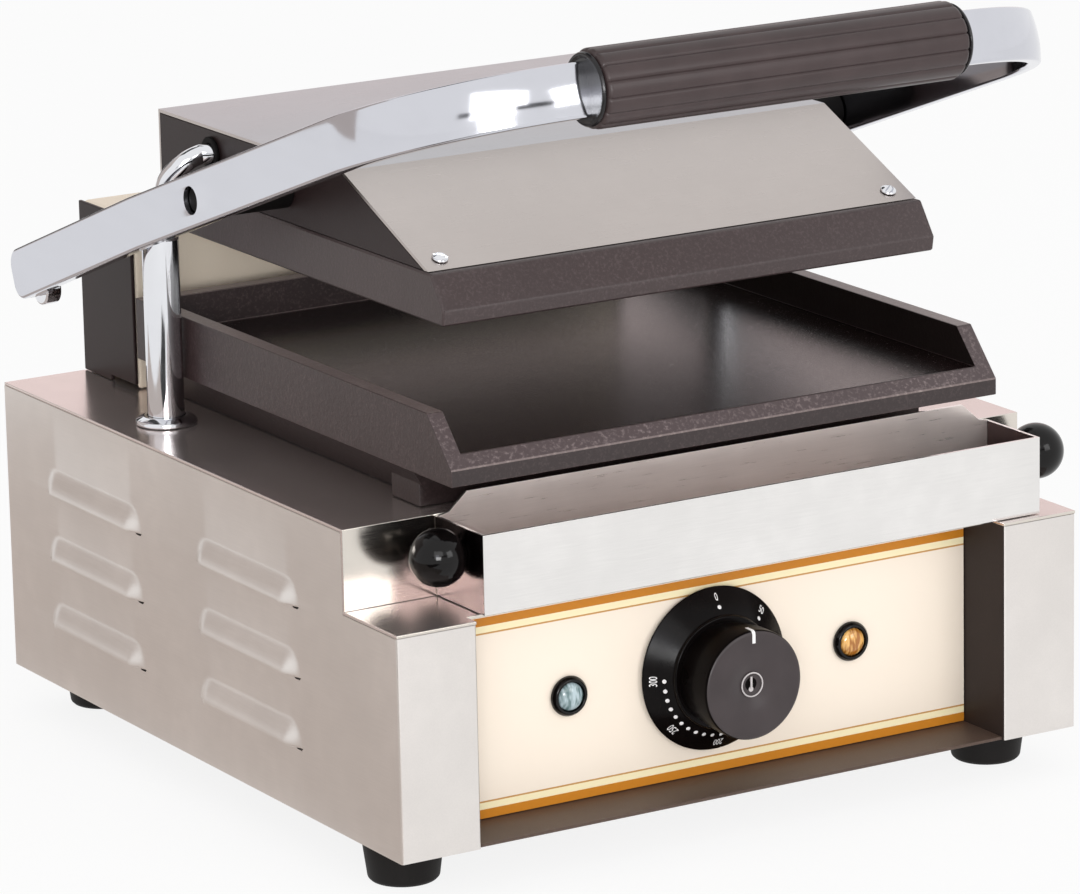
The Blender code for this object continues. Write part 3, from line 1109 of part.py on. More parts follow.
# Grip: a fluted sleeve on the cross part of the bar, with a ring at each end
flute_points = []
for i in range(GRIP_FLUTES * GRIP_STEPS):
    angle = 2 * math.pi * i / (GRIP_FLUTES * GRIP_STEPS)
    radius = GRIP_D / 2 - GRIP_FLUTE * (i % GRIP_STEPS == 0)
    flute_points.append((-GRIP_FRONT + radius * math.cos(angle), radius * math.sin(angle)))
grip = placed("handle_grip", outline_mesh("handle_grip", flute_points, -GRIP_L / 2, GRIP_L / 2, "X"), GRIP,
              (0, -GRIP_FRONT, 0), handle_axis, True)
slot_low = (-GRIP_L, -GRIP_FRONT - BAR_T / 2 - FIT, -BAR_H / 2 - FIT)
slot_high = (GRIP_L, -GRIP_FRONT + BAR_T / 2 + FIT, BAR_H / 2 + FIT)
cut(grip, box_mesh("bar_slot", slot_low, slot_high))
for side, word in ((-1, "left"), (1, "right")):
    a, b = sorted((side * (GRIP_L / 2 + FIT), side * (GRIP_L / 2 + FIT + GRIP_RING_L)))
    name = "grip_ring_" + word
    ring = placed(name, cylinder_mesh(name, (a, -GRIP_FRONT, 0), GRIP_RING_L, GRIP_RING_D / 2, "X"), BLACK,
                  (a, -GRIP_FRONT, 0), handle_axis, True)
    cut(ring, box_mesh("bar_slot", slot_low, slot_high))

# Drip tray: an open folded pan with a taller back, on the ledge
tray_low = Z_LEDGE + FIT
tray_half = TRAY_W / 2
tray_back = -Y_NOTCH + SHEET + FIT
tray_top = tray_low + TRAY_WALL_H
tray_high = tray_low + TRAY_BACK_H
back_outline = [
    (TRAY_X - tray_half, tray_low), (TRAY_X + tray_half, tray_low), (TRAY_X + tray_half, tray_top),
    (TRAY_X + tray_half - TRAY_SHOULDER, tray_top + TRAY_EDGE),
    (TRAY_X + tray_half - TRAY_SHOULDER - TRAY_CHAMFER, tray_high),
    (TRAY_X - tray_half + TRAY_SHOULDER + TRAY_CHAMFER, tray_high),
    (TRAY_X - tray_half + TRAY_SHOULDER, tray_top + TRAY_EDGE),
    (TRAY_X - tray_half, tray_top)]
tray = block("drip_tray", (TRAY_X - tray_half, -TRAY_FRONT, tray_low),
             (TRAY_X + tray_half, -tray_back, tray_top), STEEL, tray_slide)
cut(tray, box_mesh("tray_hollow", (TRAY_X - tray_half + SHEET, -TRAY_FRONT + SHEET, tray_low + SHEET),
                   (TRAY_X + tray_half - SHEET, -tray_back - SHEET, tray_top + OVERRUN)))
join(tray, outline_mesh("tray_back", back_outline, -tray_back - SHEET, -tray_back, "Y"))
for side, word in ((-1, "left"), (1, "right")):
    toward = "+X" if side > 0 else "-X"
    z = tray_low + TRAY_KNOB_UP
    at = (TRAY_X, -TRAY_KNOB_Y, z)
    ball = tray_half + FIT + TRAY_KNOB_OUT
    bore = TRAY_STUD_D / 2
    profile = [(0, ball + TRAY_KNOB_D / 2)]
    profile += arc((0, ball), TRAY_KNOB_D / 2, 75, TRAY_KNOB_BACK_ANGLE, 9)
    profile += [
        (TRAY_KNOB_NECK_D / 2, tray_half + FIT), (bore, tray_half + FIT),
        (bore, tray_half - SHEET - TRAY_STUD_IN),
        (0, tray_half - SHEET - TRAY_STUD_IN)]
    name = "tray_knob_" + word
    placed(name, turned_mesh(name, profile, at, toward), BLACK,
           (TRAY_X + side * tray_half, -TRAY_KNOB_Y, z), tray_slide)
    a, b = sorted((TRAY_X + side * (tray_half - SHEET - OVERRUN), TRAY_X + side * (tray_half + OVERRUN)))
    cut(tray, cylinder_mesh("stud_hole", (a, -TRAY_KNOB_Y, z), b - a, bore + FIT, "X", sides=16))
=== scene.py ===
"""A countertop contact grill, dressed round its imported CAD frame: steel, chrome, enamel and print."""

import json
import math

import bmesh
import bpy
from mathutils import Matrix, Vector

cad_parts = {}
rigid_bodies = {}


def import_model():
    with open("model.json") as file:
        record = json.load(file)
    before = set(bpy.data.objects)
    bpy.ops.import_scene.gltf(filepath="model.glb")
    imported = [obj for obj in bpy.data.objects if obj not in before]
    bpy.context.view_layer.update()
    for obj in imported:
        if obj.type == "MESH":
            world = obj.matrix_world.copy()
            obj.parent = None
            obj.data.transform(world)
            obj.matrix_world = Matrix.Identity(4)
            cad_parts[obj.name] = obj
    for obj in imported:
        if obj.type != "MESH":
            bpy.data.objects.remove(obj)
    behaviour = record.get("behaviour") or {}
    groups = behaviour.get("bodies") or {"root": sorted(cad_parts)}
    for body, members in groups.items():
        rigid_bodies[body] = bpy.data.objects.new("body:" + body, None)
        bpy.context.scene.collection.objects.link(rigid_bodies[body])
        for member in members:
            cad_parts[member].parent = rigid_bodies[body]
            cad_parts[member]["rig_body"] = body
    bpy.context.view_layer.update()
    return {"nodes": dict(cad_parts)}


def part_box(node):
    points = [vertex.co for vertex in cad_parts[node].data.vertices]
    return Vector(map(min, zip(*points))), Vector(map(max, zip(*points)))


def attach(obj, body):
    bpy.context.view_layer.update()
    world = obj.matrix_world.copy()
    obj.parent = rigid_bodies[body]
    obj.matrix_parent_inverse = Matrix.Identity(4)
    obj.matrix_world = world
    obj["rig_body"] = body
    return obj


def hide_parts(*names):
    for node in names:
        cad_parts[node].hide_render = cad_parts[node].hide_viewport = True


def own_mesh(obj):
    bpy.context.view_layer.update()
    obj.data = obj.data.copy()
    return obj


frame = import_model()
scene = bpy.context.scene

# Sizes shared by the looks and the pieces, in metres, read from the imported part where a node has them.
MM = 0.001
SHEET = 1.2 * MM
SIDES = ((-1, "left"), (1, "right"))


def centre_of(node):
    """The middle of a node's box."""
    low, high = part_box(node)
    return (low + high) / 2


side_low, side_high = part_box("side_panel_right")
PILLAR_IN = side_low.x
Y_FRONT = side_low.y
Y_REAR = side_high.y
Y_NOTCH = Y_FRONT + 38 * MM
Z_UNDER = side_low.z
Z_SIDE_TOP = side_high.z + 0.25 * MM
HALF_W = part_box("top_deck")[1].x
panel_low, panel_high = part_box("front_panel")
Y_PANEL = panel_low.y
Z_LEDGE_UNDER = panel_high.z
plate_low, plate_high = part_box("lower_plate")
PLATE_SKIRT_Y = plate_low.y + 9.6 * MM
PLATE_SHOULDER = plate_low.z + 16.2 * MM
PLATE_FLOOR = plate_high.z - 13 * MM
PLATE_RIM = plate_high.z - 1.2 * MM
LOUVRE_Y = (0.09092, -0.03009)
LOUVRE_LOW = 0.0412
LOUVRE_PITCH = 26.4 * MM
LOUVRE_LIPS = [LOUVRE_LOW + LOUVRE_PITCH * row for row in range(3)]
LOUVRE_L = 78 * MM
LOUVRE_H = 10.5 * MM
LOUVRE_OUT = 3.5 * MM
LOUVRE_END = 10.5 * MM
LIP_ROLL = 0.16
SLIT = 0.4 * MM
SLIT_FRONT = 1.0 * MM
DIAL_Z = centre_of("thermostat_dial").z
LAMP_X = 0.0608
LAMP_Z = centre_of("lamp_bezel_right").z
POST_X = centre_of("post_right").x
POST_Y = centre_of("post_right").y
AXIS_Y = centre_of("hinge_bush_right").y
AXIS_Z = centre_of("hinge_bush_right").z
PIVOT_Y = centre_of("handle_pivot_right").y
PIVOT_Z = centre_of("handle_pivot_right").z
ARM_TILT = math.radians(19.6)
TRAY_X = centre_of("drip_tray").x
TRAY_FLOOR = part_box("drip_tray")[0].z + 4.7 * MM
TRAY_KNOB_Y = centre_of("tray_knob_right").y
TRAY_KNOB_Z = centre_of("tray_knob_right").z


# Materials. Colours are written as screen values from 0 to 255 and turned linear.
def linear(*rgb):
    out = []
    for value in rgb:
        v = value / 255
        out.append(v / 12.92 if v <= 0.04045 else ((v + 0.055) / 1.055) ** 2.4)
    return (*out, 1.0)


def shade(colour, factor):
    return (*[min(1.0, c * factor) for c in colour[:3]], 1.0)


class Look:
    """A node material with a Principled shader and short calls for the nodes round it."""

    def __init__(self, name, colour, rough, metal=0.0, **sockets):
        self.mat = bpy.data.materials.new(name)
        self.mat.use_nodes = True
        self.tree = self.mat.node_tree
        self.shader = self.tree.nodes["Principled BSDF"]
        self.shader.inputs["Base Color"].default_value = colour
        self.shader.inputs["Roughness"].default_value = rough
        self.shader.inputs["Metallic"].default_value = metal
        for key, value in sockets.items():
            self.shader.inputs[key.replace("_", " ")].default_value = value
        self.place = self.tree.nodes.new("ShaderNodeTexCoord").outputs["Object"]
        self.height = None

    def node(self, kind, **settings):
        made = self.tree.nodes.new(kind)
        for key, value in settings.items():
            setattr(made, key, value)
        return made

    def link(self, a, b):
        self.tree.links.new(a, b)

    def noise(self, scale, detail=2.0, rough=0.5):
        """Noise in metres: scale is per metre, one number or one for each axis."""
        mapping = self.node("ShaderNodeMapping")
        self.link(self.place, mapping.inputs["Vector"])
        mapping.inputs["Scale"].default_value = scale if hasattr(scale, "__len__") else (scale,) * 3
        grain = self.node("ShaderNodeTexNoise")
        grain.inputs["Scale"].default_value = 1.0
        grain.inputs["Detail"].default_value = detail
        grain.inputs["Roughness"].default_value = rough
        self.link(mapping.outputs["Vector"], grain.inputs["Vector"])
        return grain.outputs["Fac"]

    def ranged(self, value, low, high, to_low, to_high):
        spread = self.node("ShaderNodeMapRange")
        for key, number in (("From Min", low), ("From Max", high), ("To Min", to_low), ("To Max", to_high)):
            spread.inputs[key].default_value = number
        self.link(value, spread.inputs["Value"])
        return spread.outputs["Result"]

    def mixed(self, factor, first, second, blend="MIX"):
        mix = self.node("ShaderNodeMix", data_type="RGBA", blend_type=blend)
        colours = [s for s in mix.inputs if s.type == "RGBA"]
        for socket, value in zip(colours, (first, second)):
            if hasattr(value, "is_output"):
                self.link(value, socket)
            else:
                socket.default_value = value
        if hasattr(factor, "is_output"):
            self.link(factor, mix.inputs[0])
        else:
            mix.inputs[0].default_value = factor
        return next(s for s in mix.outputs if s.type == "RGBA")

    def colour(self, value):
        self.link(value, self.shader.inputs["Base Color"])
        return self

    def roughness(self, value):
        self.link(value, self.shader.inputs["Roughness"])
        return self

    def bump(self, value, distance, strength=1.0):
        made = self.node("ShaderNodeBump")
        made.inputs["Distance"].default_value = distance
        made.inputs["Strength"].default_value = strength
        self.link(value, made.inputs["Height"])
        if self.height is not None:
            self.link(self.height, made.inputs["Normal"])
        self.height = made.outputs["Normal"]
        self.link(self.height, self.shader.inputs["Normal"])
        return self


ALONG_Y = (1800.0, 60.0, 1800.0)
ALONG_X = (60.0, 1800.0, 1800.0)
ALONG_Z = (1800.0, 1800.0, 60.0)
WHITE = (1.0, 1.0, 1.0, 1.0)
STREAK = shade(WHITE, 0.97)


def brushed(name, base, rough, brush, cloud=0.05, metal=1.0):
    """Satin sheet: a soft cloudy tone, a faint brushing along one axis and slight handling marks."""
    look = Look(name, base, rough, metal)
    fine = look.noise(brush, 3.0, 0.6)
    broad = look.noise(16.0, 3.0, 0.55)
    patch = look.noise(90.0, 2.0, 0.5)
    darker = shade(base, 1 - cloud)
    tone = look.mixed(look.ranged(broad, 0.3, 0.7, 0.0, 1.0), darker, shade(base, 1 + cloud))
    tone = look.mixed(look.ranged(patch, 0.35, 0.65, 0.0, 0.5), tone, darker)
    lines = look.mixed(look.ranged(fine, 0.35, 0.65, 0.0, 1.0), STREAK, WHITE)
    look.colour(look.mixed(1.0, tone, lines, "MULTIPLY"))
    look.roughness(look.ranged(fine, 0.3, 0.7, rough - 0.03, rough + 0.04))
    look.bump(patch, 0.00003, 0.15)
    return look.bump(fine, 0.00001, 0.3).mat


def enamel(name, base, speck, rough, grain=900.0, relief=0.00015, ripple=0.0003, spec=0.5, tint=WHITE):
    """Speckled enamel on cast iron: a fine orange peel with slightly lighter flecks."""
    look = Look(name, base, rough, 0.0, Specular_IOR_Level=spec, Specular_Tint=tint)
    fine = look.noise(grain, 4.0, 0.65)
    cloud = look.noise(35.0, 3.0, 0.6)
    cast = look.noise(320.0, 3.0, 0.6)
    flecks = look.mixed(look.ranged(fine, 0.5, 0.72, 0.0, 1.0), base, speck)
    look.colour(look.mixed(look.ranged(cloud, 0.35, 0.7, 0.0, 0.5), flecks, shade(base, 0.85)))
    look.roughness(look.ranged(fine, 0.3, 0.7, rough - 0.05, rough + 0.08))
    look.bump(cast, ripple, 0.4)
    return look.bump(fine, relief, 0.5).mat


def moulded(name, base, rough, grain=900.0, relief=0.00004, spec=0.5):
    """A moulded plastic or rubber: even colour, faint cloud in it, fine skin."""
    look = Look(name, base, rough, 0.0, Specular_IOR_Level=spec)
    cloud = look.noise(70.0, 2.0, 0.5)
    lighter = (*[min(1.0, c * 1.25 + 0.001) for c in base[:3]], 1.0)
    look.colour(look.mixed(look.ranged(cloud, 0.35, 0.75, 0.0, 1.0), base, lighter))
    look.roughness(look.ranged(cloud, 0.3, 0.7, max(0.03, rough - 0.03), rough + 0.05))
    return look.bump(look.noise(grain, 2.0, 0.5), relief, 0.4).mat


def plated(name, base, rough):
    """Polished chrome over hand-finished steel: a slow ripple and faint wiping marks."""
    look = Look(name, base, rough, 1.0)
    marks = look.noise((160.0, 30.0, 160.0), 2.0, 0.5)
    look.colour(look.mixed(look.ranged(marks, 0.4, 0.75, 0.0, 0.25), base, shade(base, 0.93)))
    look.roughness(look.ranged(marks, 0.4, 0.8, rough, rough + 0.04))
    return look.bump(look.noise(40.0, 1.0, 0.5), 0.00003, 0.3).mat


steel = brushed("satin_body_steel", linear(231, 226, 222), 0.34, ALONG_Y)
steel_deck = brushed("satin_deck_steel", linear(224, 212, 208), 0.20, ALONG_X, metal=0.88)
steel_tray = brushed("bright_tray_steel", linear(238, 236, 234), 0.18, ALONG_X)
# The tray's inside is painted lighter and warmer than its outside: a painted warm reflection.
tray_inside_painted_reflection = brushed("tray_inside_painted_warm_reflection", linear(250, 238, 233), 0.30, ALONG_X, metal=0.78)
steel_step = brushed("bright_step_steel", linear(226, 219, 210), 0.16, ALONG_X)
# The tray's two ends are painted dark on the same steel: painted shade.
tray_end_painted_shade = brushed("tray_end_steel_painted_shade", linear(84, 72, 72), 0.20, ALONG_Z)
# The lid's level top is painted cooler and darker than its slope: a painted cool reflection.
lid_top_painted_reflection = brushed("lid_top_steel_painted_cool_reflection", linear(178, 180, 184), 0.30, ALONG_X, 0.03)
steel_lid = brushed("satin_lid_steel", linear(192, 184, 180), 0.30, ALONG_X, 0.03)
chrome = plated("polished_handle_chrome", linear(209, 210, 217), 0.10)
chrome_rod = plated("polished_rod_chrome", linear(228, 229, 233), 0.06)
iron = enamel("speckled_iron_enamel", linear(52, 38, 38), linear(86, 71, 71), 0.36)
# The cooking floor is painted much darker than the plate's walls: painted shade under the lid.
floor_enamel_painted_shade = enamel(
    "cooking_face_painted_shade", linear(24, 15, 15), linear(48, 36, 36), 0.20,
    grain=1300.0, relief=0.00008, ripple=0.00003, spec=0.6, tint=(1.0, 0.84, 0.82, 1.0))
# The skirt below the shoulder is painted darker than the rest of the casting: painted shade.
iron_skirt_painted_shade = enamel("skirt_enamel_painted_shade", linear(44, 33, 33), linear(66, 54, 54), 0.42)
# The front slope is painted lighter than the casting: a painted highlight.
iron_slope_painted_highlight = enamel(
    "slope_enamel_painted_highlight", linear(74, 61, 62), linear(128, 114, 114), 0.34,
    grain=700.0, relief=0.0003, ripple=0.0005)
# The ridges and rim tops are painted lighter than the casting: a painted highlight.
iron_ridge_painted_highlight = enamel(
    "ridge_enamel_painted_highlight", linear(112, 98, 96), linear(150, 136, 132), 0.36, grain=700.0, relief=0.0002)
# The insides of the side rims are painted near black: painted shade.
iron_rim_painted_shade = enamel("rim_enamel_painted_shade", linear(20, 12, 11), linear(34, 24, 23), 0.5, spec=0.2)
iron_lid = enamel("lid_iron_enamel", linear(62, 50, 50), linear(86, 73, 73), 0.40)


def paint(name, base, speck, rough, spec):
    """A finely speckled paint on sheet."""
    return enamel(name, base, speck, rough, grain=1500.0, relief=0.00006, ripple=0.00003, spec=spec)


painted = paint("dark_side_paint", linear(38, 26, 26), linear(52, 39, 39), 0.42, 0.3)
pan_paint = paint("dark_pan_paint", linear(84, 68, 60), linear(102, 86, 76), 0.45, 0.3)
# The pillars' inner returns are painted dark brown on the steel sheet: painted shade.
return_painted_shade = paint("pillar_return_painted_shade", linear(46, 37, 34), linear(58, 48, 44), 0.5, 0.2)
gloss_black = moulded("gloss_black_plastic", linear(8, 6, 6), 0.10, spec=0.28)
dial_black = moulded("dial_black_plastic", linear(9, 6, 6), 0.2, spec=0.1)
knob_side = moulded("dark_knob_side", linear(9, 6, 6), 0.3, spec=0.04)
knob_face = moulded("satin_knob_face", linear(56, 49, 50), 0.34, 1500.0, 0.00003, 0.35)
cap_black = moulded("grip_cap_black", linear(22, 20, 22), 0.22, spec=0.4)
grip_brown = moulded("satin_brown_grip", linear(60, 49, 49), 0.36, 1200.0, 0.00004, 0.35)
rubber = moulded("matte_black_rubber", linear(20, 17, 16), 0.6, 1500.0, 0.0001, 0.2)
white_print = moulded("white_scale_print", linear(232, 230, 230), 0.45)
symbol_print = moulded("grey_symbol_print", linear(186, 180, 180), 0.45)
dark_recess = moulded("dark_recess", linear(14, 12, 12), 0.6, spec=0.1)
zinc = brushed("zinc_sheet", linear(176, 178, 180), 0.42, ALONG_Y)
sheath = brushed("element_sheath", linear(92, 86, 82), 0.5, ALONG_Y, 0.15)
spring_steel = brushed("spring_steel", linear(130, 128, 126), 0.38, ALONG_Z, 0.1)
bronze = brushed("drawn_bronze", linear(178, 138, 90), 0.36, ALONG_Y)
wool = moulded("pressed_wool", linear(206, 200, 188), 0.9, 500.0, 0.0006)
ceramic = moulded("off_white_ceramic", linear(222, 218, 208), 0.5)
sleeve = moulded("woven_sleeve", linear(176, 166, 150), 0.8, 1500.0, 0.0004)


def coated_sheet(name, base):
    """A beige satin coating on sheet: mostly paint, with a little of the metal's sheen."""
    look = Look(name, base, 0.6, 0.1)
    cloud = look.noise(14.0, 3.0, 0.5)
    look.colour(look.mixed(look.ranged(cloud, 0.3, 0.7, 0.0, 1.0), shade(base, 0.94), shade(base, 1.05)))
    look.roughness(look.ranged(look.noise(120.0), 0.3, 0.7, 0.52, 0.66))
    return look.bump(look.noise(900.0, 2.0, 0.5), 0.00002, 0.4).mat


steel_box = coated_sheet("beige_box_sheet", linear(252, 236, 216))


def lens_look(name, base, deep):
    """A moulded lens: lighter ribs and a darker body under a clear skin."""
    look = Look(name, base, 0.1, 0.0, Coat_Weight=0.6, Coat_Roughness=0.05)
    ribs = look.noise((900.0, 200.0, 220.0), 1.0, 0.5)
    look.colour(look.mixed(look.ranged(ribs, 0.38, 0.62, 0.0, 1.0), deep, base))
    return look.bump(ribs, 0.0002, 0.5).mat


amber = lens_look("amber_lens", linear(244, 190, 110), linear(168, 104, 34))
grey_lens = lens_look("grey_green_lens", linear(184, 202, 208), linear(104, 128, 130))

# The printed panel's stripes, from its lower edge and from the line that the ledge hides
GOLD_BAND = 3.2 * MM
PALE_BAND = 2.5 * MM
LINE_BAND = 0.8 * MM
PRINT_TOP = 0.0925


def printed_panel(low, high):
    """Cream print with a gold stripe, a pale band and a fine brown line at its top and bottom."""
    cream = linear(250, 237, 221)
    look = Look("cream_printed_panel", cream, 0.4, 0.0, Specular_IOR_Level=0.3)
    parts = look.node("ShaderNodeSeparateXYZ")
    look.link(look.place, parts.inputs[0])
    up = look.ranged(parts.outputs["Z"], low, high, 0.0, 1.0)
    gold = linear(206, 132, 38)
    pale = linear(255, 242, 200)
    line = linear(204, 154, 88)
    edges = [0.0, GOLD_BAND, GOLD_BAND + PALE_BAND, GOLD_BAND + PALE_BAND + LINE_BAND]
    bands = list(zip([low + at for at in edges], (gold, pale, line, cream)))
    bands += list(zip([PRINT_TOP - at for at in reversed(edges)], (line, pale, gold, cream)))
    ramp = look.node("ShaderNodeValToRGB")
    ramp.color_ramp.interpolation = "CONSTANT"
    ramp.color_ramp.elements[0].color = bands[0][1]
    ramp.color_ramp.elements.remove(ramp.color_ramp.elements[1])
    for at, c in bands[1:]:
        ramp.color_ramp.elements.new((at - low) / (high - low)).color = c
    look.link(up, ramp.inputs["Fac"])
    cloud = look.noise(25.0, 2.0, 0.5)
    soft = look.ranged(cloud, 0.3, 0.7, 0.0, 0.05)
    look.colour(look.mixed(soft, ramp.outputs["Color"], linear(240, 224, 206), "MULTIPLY"))
    return look.bump(look.noise(700.0, 2.0, 0.5), 0.00002, 0.3).mat


panel_print = printed_panel(panel_low.z, panel_high.z)


# Pieces. A finished piece is a copy of a CAD node with its sharp edges eased, which stands for it.
WELD = 0.002 * MM
FLAT_ANGLE = math.radians(0.4)
CORNER_SHARE = 0.45


def mesh_of(name, bm):
    """A mesh made from a bmesh, which is freed."""
    mesh = bpy.data.meshes.new(name)
    bm.to_mesh(mesh)
    bm.free()
    return mesh


def welded(node):
    """The node's mesh as one surface: the export's split corners joined and its flat faces whole again."""
    source = frame["nodes"][node].data.copy()
    for name in ("custom_normal", "UVMap"):
        layer = source.attributes.get(name)
        if layer is not None:
            source.attributes.remove(layer)
    bm = bmesh.new()
    bm.from_mesh(source)
    bpy.data.meshes.remove(source)
    bmesh.ops.remove_doubles(bm, verts=bm.verts, dist=WELD)
    bmesh.ops.dissolve_degenerate(bm, edges=bm.edges, dist=WELD)
    bmesh.ops.dissolve_limit(bm, angle_limit=FLAT_ANGLE, verts=bm.verts, edges=bm.edges)
    return mesh_of(node + "_finish", bm)


def linked(name, mesh, mat):
    obj = bpy.data.objects.new(name, mesh)
    scene.collection.objects.link(obj)
    mesh.materials.append(mat)
    return obj


def applied(obj):
    """The object's mesh with its modifiers applied."""
    graph = bpy.context.evaluated_depsgraph_get()
    graph.update()
    mesh = bpy.data.meshes.new_from_object(obj.evaluated_get(graph), depsgraph=graph)
    obj.modifiers.clear()
    old = obj.data
    obj.data = mesh
    bpy.data.meshes.remove(old)
    return obj


def body_of(node):
    return frame["nodes"][node]["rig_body"]


def stands_for(piece, *nodes):
    """Lets a piece ride with its node's body and take the nodes' place."""
    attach(piece, body_of(nodes[0]))
    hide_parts(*nodes)
    return piece


def eased(obj, width, segments, sharp):
    """Adds a bevel along the edges that turn by more than sharp degrees."""
    bevel = obj.modifiers.new("ease", "BEVEL")
    bevel.width = width
    bevel.segments = segments
    bevel.limit_method = "ANGLE"
    bevel.angle_limit = math.radians(sharp)


def walled(obj, thickness, offset):
    """Adds a sheet's thickness, inward where the offset is -1 and to both sides where it is 0."""
    wall = obj.modifiers.new("wall", "SOLIDIFY")
    wall.thickness = thickness
    wall.offset = offset


def taken_out(obj, cutter):
    """Adds a cut in the shape of another object."""
    hole = obj.modifiers.new("hole", "BOOLEAN")
    hole.operation = "DIFFERENCE"
    hole.solver = "EXACT"
    hole.object = cutter


def finished(node, mat, ease):
    """The node's shape with eased edges and a smooth skin."""
    obj = linked(node + "_finish", welded(node), mat)
    if ease:
        eased(obj, ease, 2, 28)
    obj.data.shade_smooth()
    obj.modifiers.new("weight", "WEIGHTED_NORMAL").keep_sharp = True
    return stands_for(applied(obj), node)


def in_mm(profile):
    """A profile given in mm, turned to metres."""
    return [(along * MM, radius * MM) for along, radius in profile]


def rounded(points, radius, steps=4):
    """A run of points with its inner corners rounded."""
    out = [Vector(points[0])]
    for a, b, c in zip(points, points[1:], points[2:]):
        a, b, c = Vector(a), Vector(b), Vector(c)
        reach = min(radius, (a - b).length * CORNER_SHARE, (c - b).length * CORNER_SHARE)
        start = b + (a - b).normalized() * reach
        end = b + (c - b).normalized() * reach
        for i in range(steps + 1):
            t = i / steps
            out.append(start.lerp(b, t).lerp(b.lerp(end, t), t))
    out.append(Vector(points[-1]))
    return [tuple(p) for p in out]


def smoothed(bm, name, mat, sharp):
    bmesh.ops.remove_doubles(bm, verts=bm.verts, dist=WELD / 2)
    bmesh.ops.recalc_face_normals(bm, faces=bm.faces)
    mesh = mesh_of(name, bm)
    mesh.shade_smooth()
    mesh.set_sharp_from_angle(angle=math.radians(sharp))
    return linked(name, mesh, mat)


def turned(name, profile, at, axis, mat, sides=96, sharp=35):
    """A lathe-turned piece: profile points are (distance along the axis, radius)."""
    bm = bmesh.new()
    turn = Matrix.Translation(at) @ Vector(axis).to_track_quat("Z", "Y").to_matrix().to_4x4()
    rings = []
    for along, radius in profile:
        count = sides if radius > 0 else 1
        ring = []
        for i in range(count):
            angle = 2 * math.pi * i / sides
            place = Vector((radius * math.cos(angle), radius * math.sin(angle), along))
            ring.append(bm.verts.new(turn @ place))
        rings.append(ring)
    for a, b in zip(rings, rings[1:]):
        for i in range(sides):
            j = (i + 1) % sides
            corners = list(dict.fromkeys([a[i % len(a)], a[j % len(a)], b[j % len(b)], b[i % len(b)]]))
            if len(corners) > 2:
                bm.faces.new(corners)
    return smoothed(bm, name, mat, sharp)


def skinned(name, rings, mat, sharp=40):
    """A skin over rings of points, with both ends closed."""
    bm = bmesh.new()
    rows = [[bm.verts.new(p) for p in ring] for ring in rings]
    count = len(rings[0])
    for a, b in zip(rows, rows[1:]):
        for i in range(count):
            j = (i + 1) % count
            bm.faces.new((a[i], a[j], b[j], b[i]))
    bm.faces.new(rows[0][::-1])
    bm.faces.new(rows[-1])
    return smoothed(bm, name, mat, sharp)


def smooth_path(points, steps):
    """A Catmull-Rom curve through points."""
    ends = [points[0], *points, points[-1]]
    out = []
    for a, b, c, d in zip(ends, ends[1:], ends[2:], ends[3:]):
        a, b, c, d = Vector(a), Vector(b), Vector(c), Vector(d)
        for i in range(steps):
            t = i / steps
            out.append(0.5 * ((2 * b) + (c - a) * t + (2 * a - 5 * b + 4 * c - d) * t * t
                              + (3 * b - a - 3 * c + d) * t * t * t))
    out.append(Vector(points[-1]))
    return out


def tube_rings(path, radius, sides=36):
    """Rings round a path, turned as little as possible from one to the next."""
    rings = []
    side = Vector((0, 1, 0))
    for i, point in enumerate(path):
        ahead = (path[min(i + 1, len(path) - 1)] - path[max(i - 1, 0)]).normalized()
        side = (side - ahead * side.dot(ahead)).normalized()
        other = ahead.cross(side)
        rings.append([point + radius * (math.cos(a) * side + math.sin(a) * other)
                      for a in (2 * math.pi * k / sides for k in range(sides))])
    return rings


def written(text, size, squeeze):
    """The mesh of a numeral, flat in XY about its middle."""
    curve = bpy.data.curves.new("numeral", "FONT")
    curve.body = text
    curve.size = size
    curve.align_x = "CENTER"
    curve.align_y = "CENTER"
    curve.extrude = NUMBER_T
    holder = bpy.data.objects.new("numeral", curve)
    scene.collection.objects.link(holder)
    graph = bpy.context.evaluated_depsgraph_get()
    mesh = bpy.data.meshes.new_from_object(holder.evaluated_get(graph), depsgraph=graph)
    bpy.data.objects.remove(holder)
    mesh.transform(Matrix.Diagonal((squeeze, 1, 1, 1)))
    mesh.materials.clear()
    return mesh


# Side panels: one sheet each, with pressed louvres, folded round the pillar and back to the printed panel
LOUVRE_STEPS = 10
LOUVRE_ROW_SHARES = (0.03, 0.07, 0.13, 0.22, 0.33, 0.45, 0.57, 0.69, 0.81, 0.91, 1.0)
HOOD_LIP_SHARE = 0.8
HOOD_FALL = 1.5
HOOD_LEAST = 0.1 * MM
PILLAR_EASE = 1.1 * MM


def hood(y, z):
    """How far a louvre's hood stands out at a place on the panel."""
    for centre in LOUVRE_Y:
        for lip in LOUVRE_LIPS:
            across = max(0.0, abs(y - centre) - (LOUVRE_L / 2 - LOUVRE_END)) / LOUVRE_END
            upward = (z - lip) / LOUVRE_H
            if abs(y - centre) <= LOUVRE_L / 2 and 0 <= upward <= 1:
                reach = min(1.0, math.hypot(across, upward))
                rolled = min(1.0, HOOD_LIP_SHARE + upward / LIP_ROLL)
                return LOUVRE_OUT * rolled * math.cos(math.pi * reach / 2) ** HOOD_FALL
    return 0.0


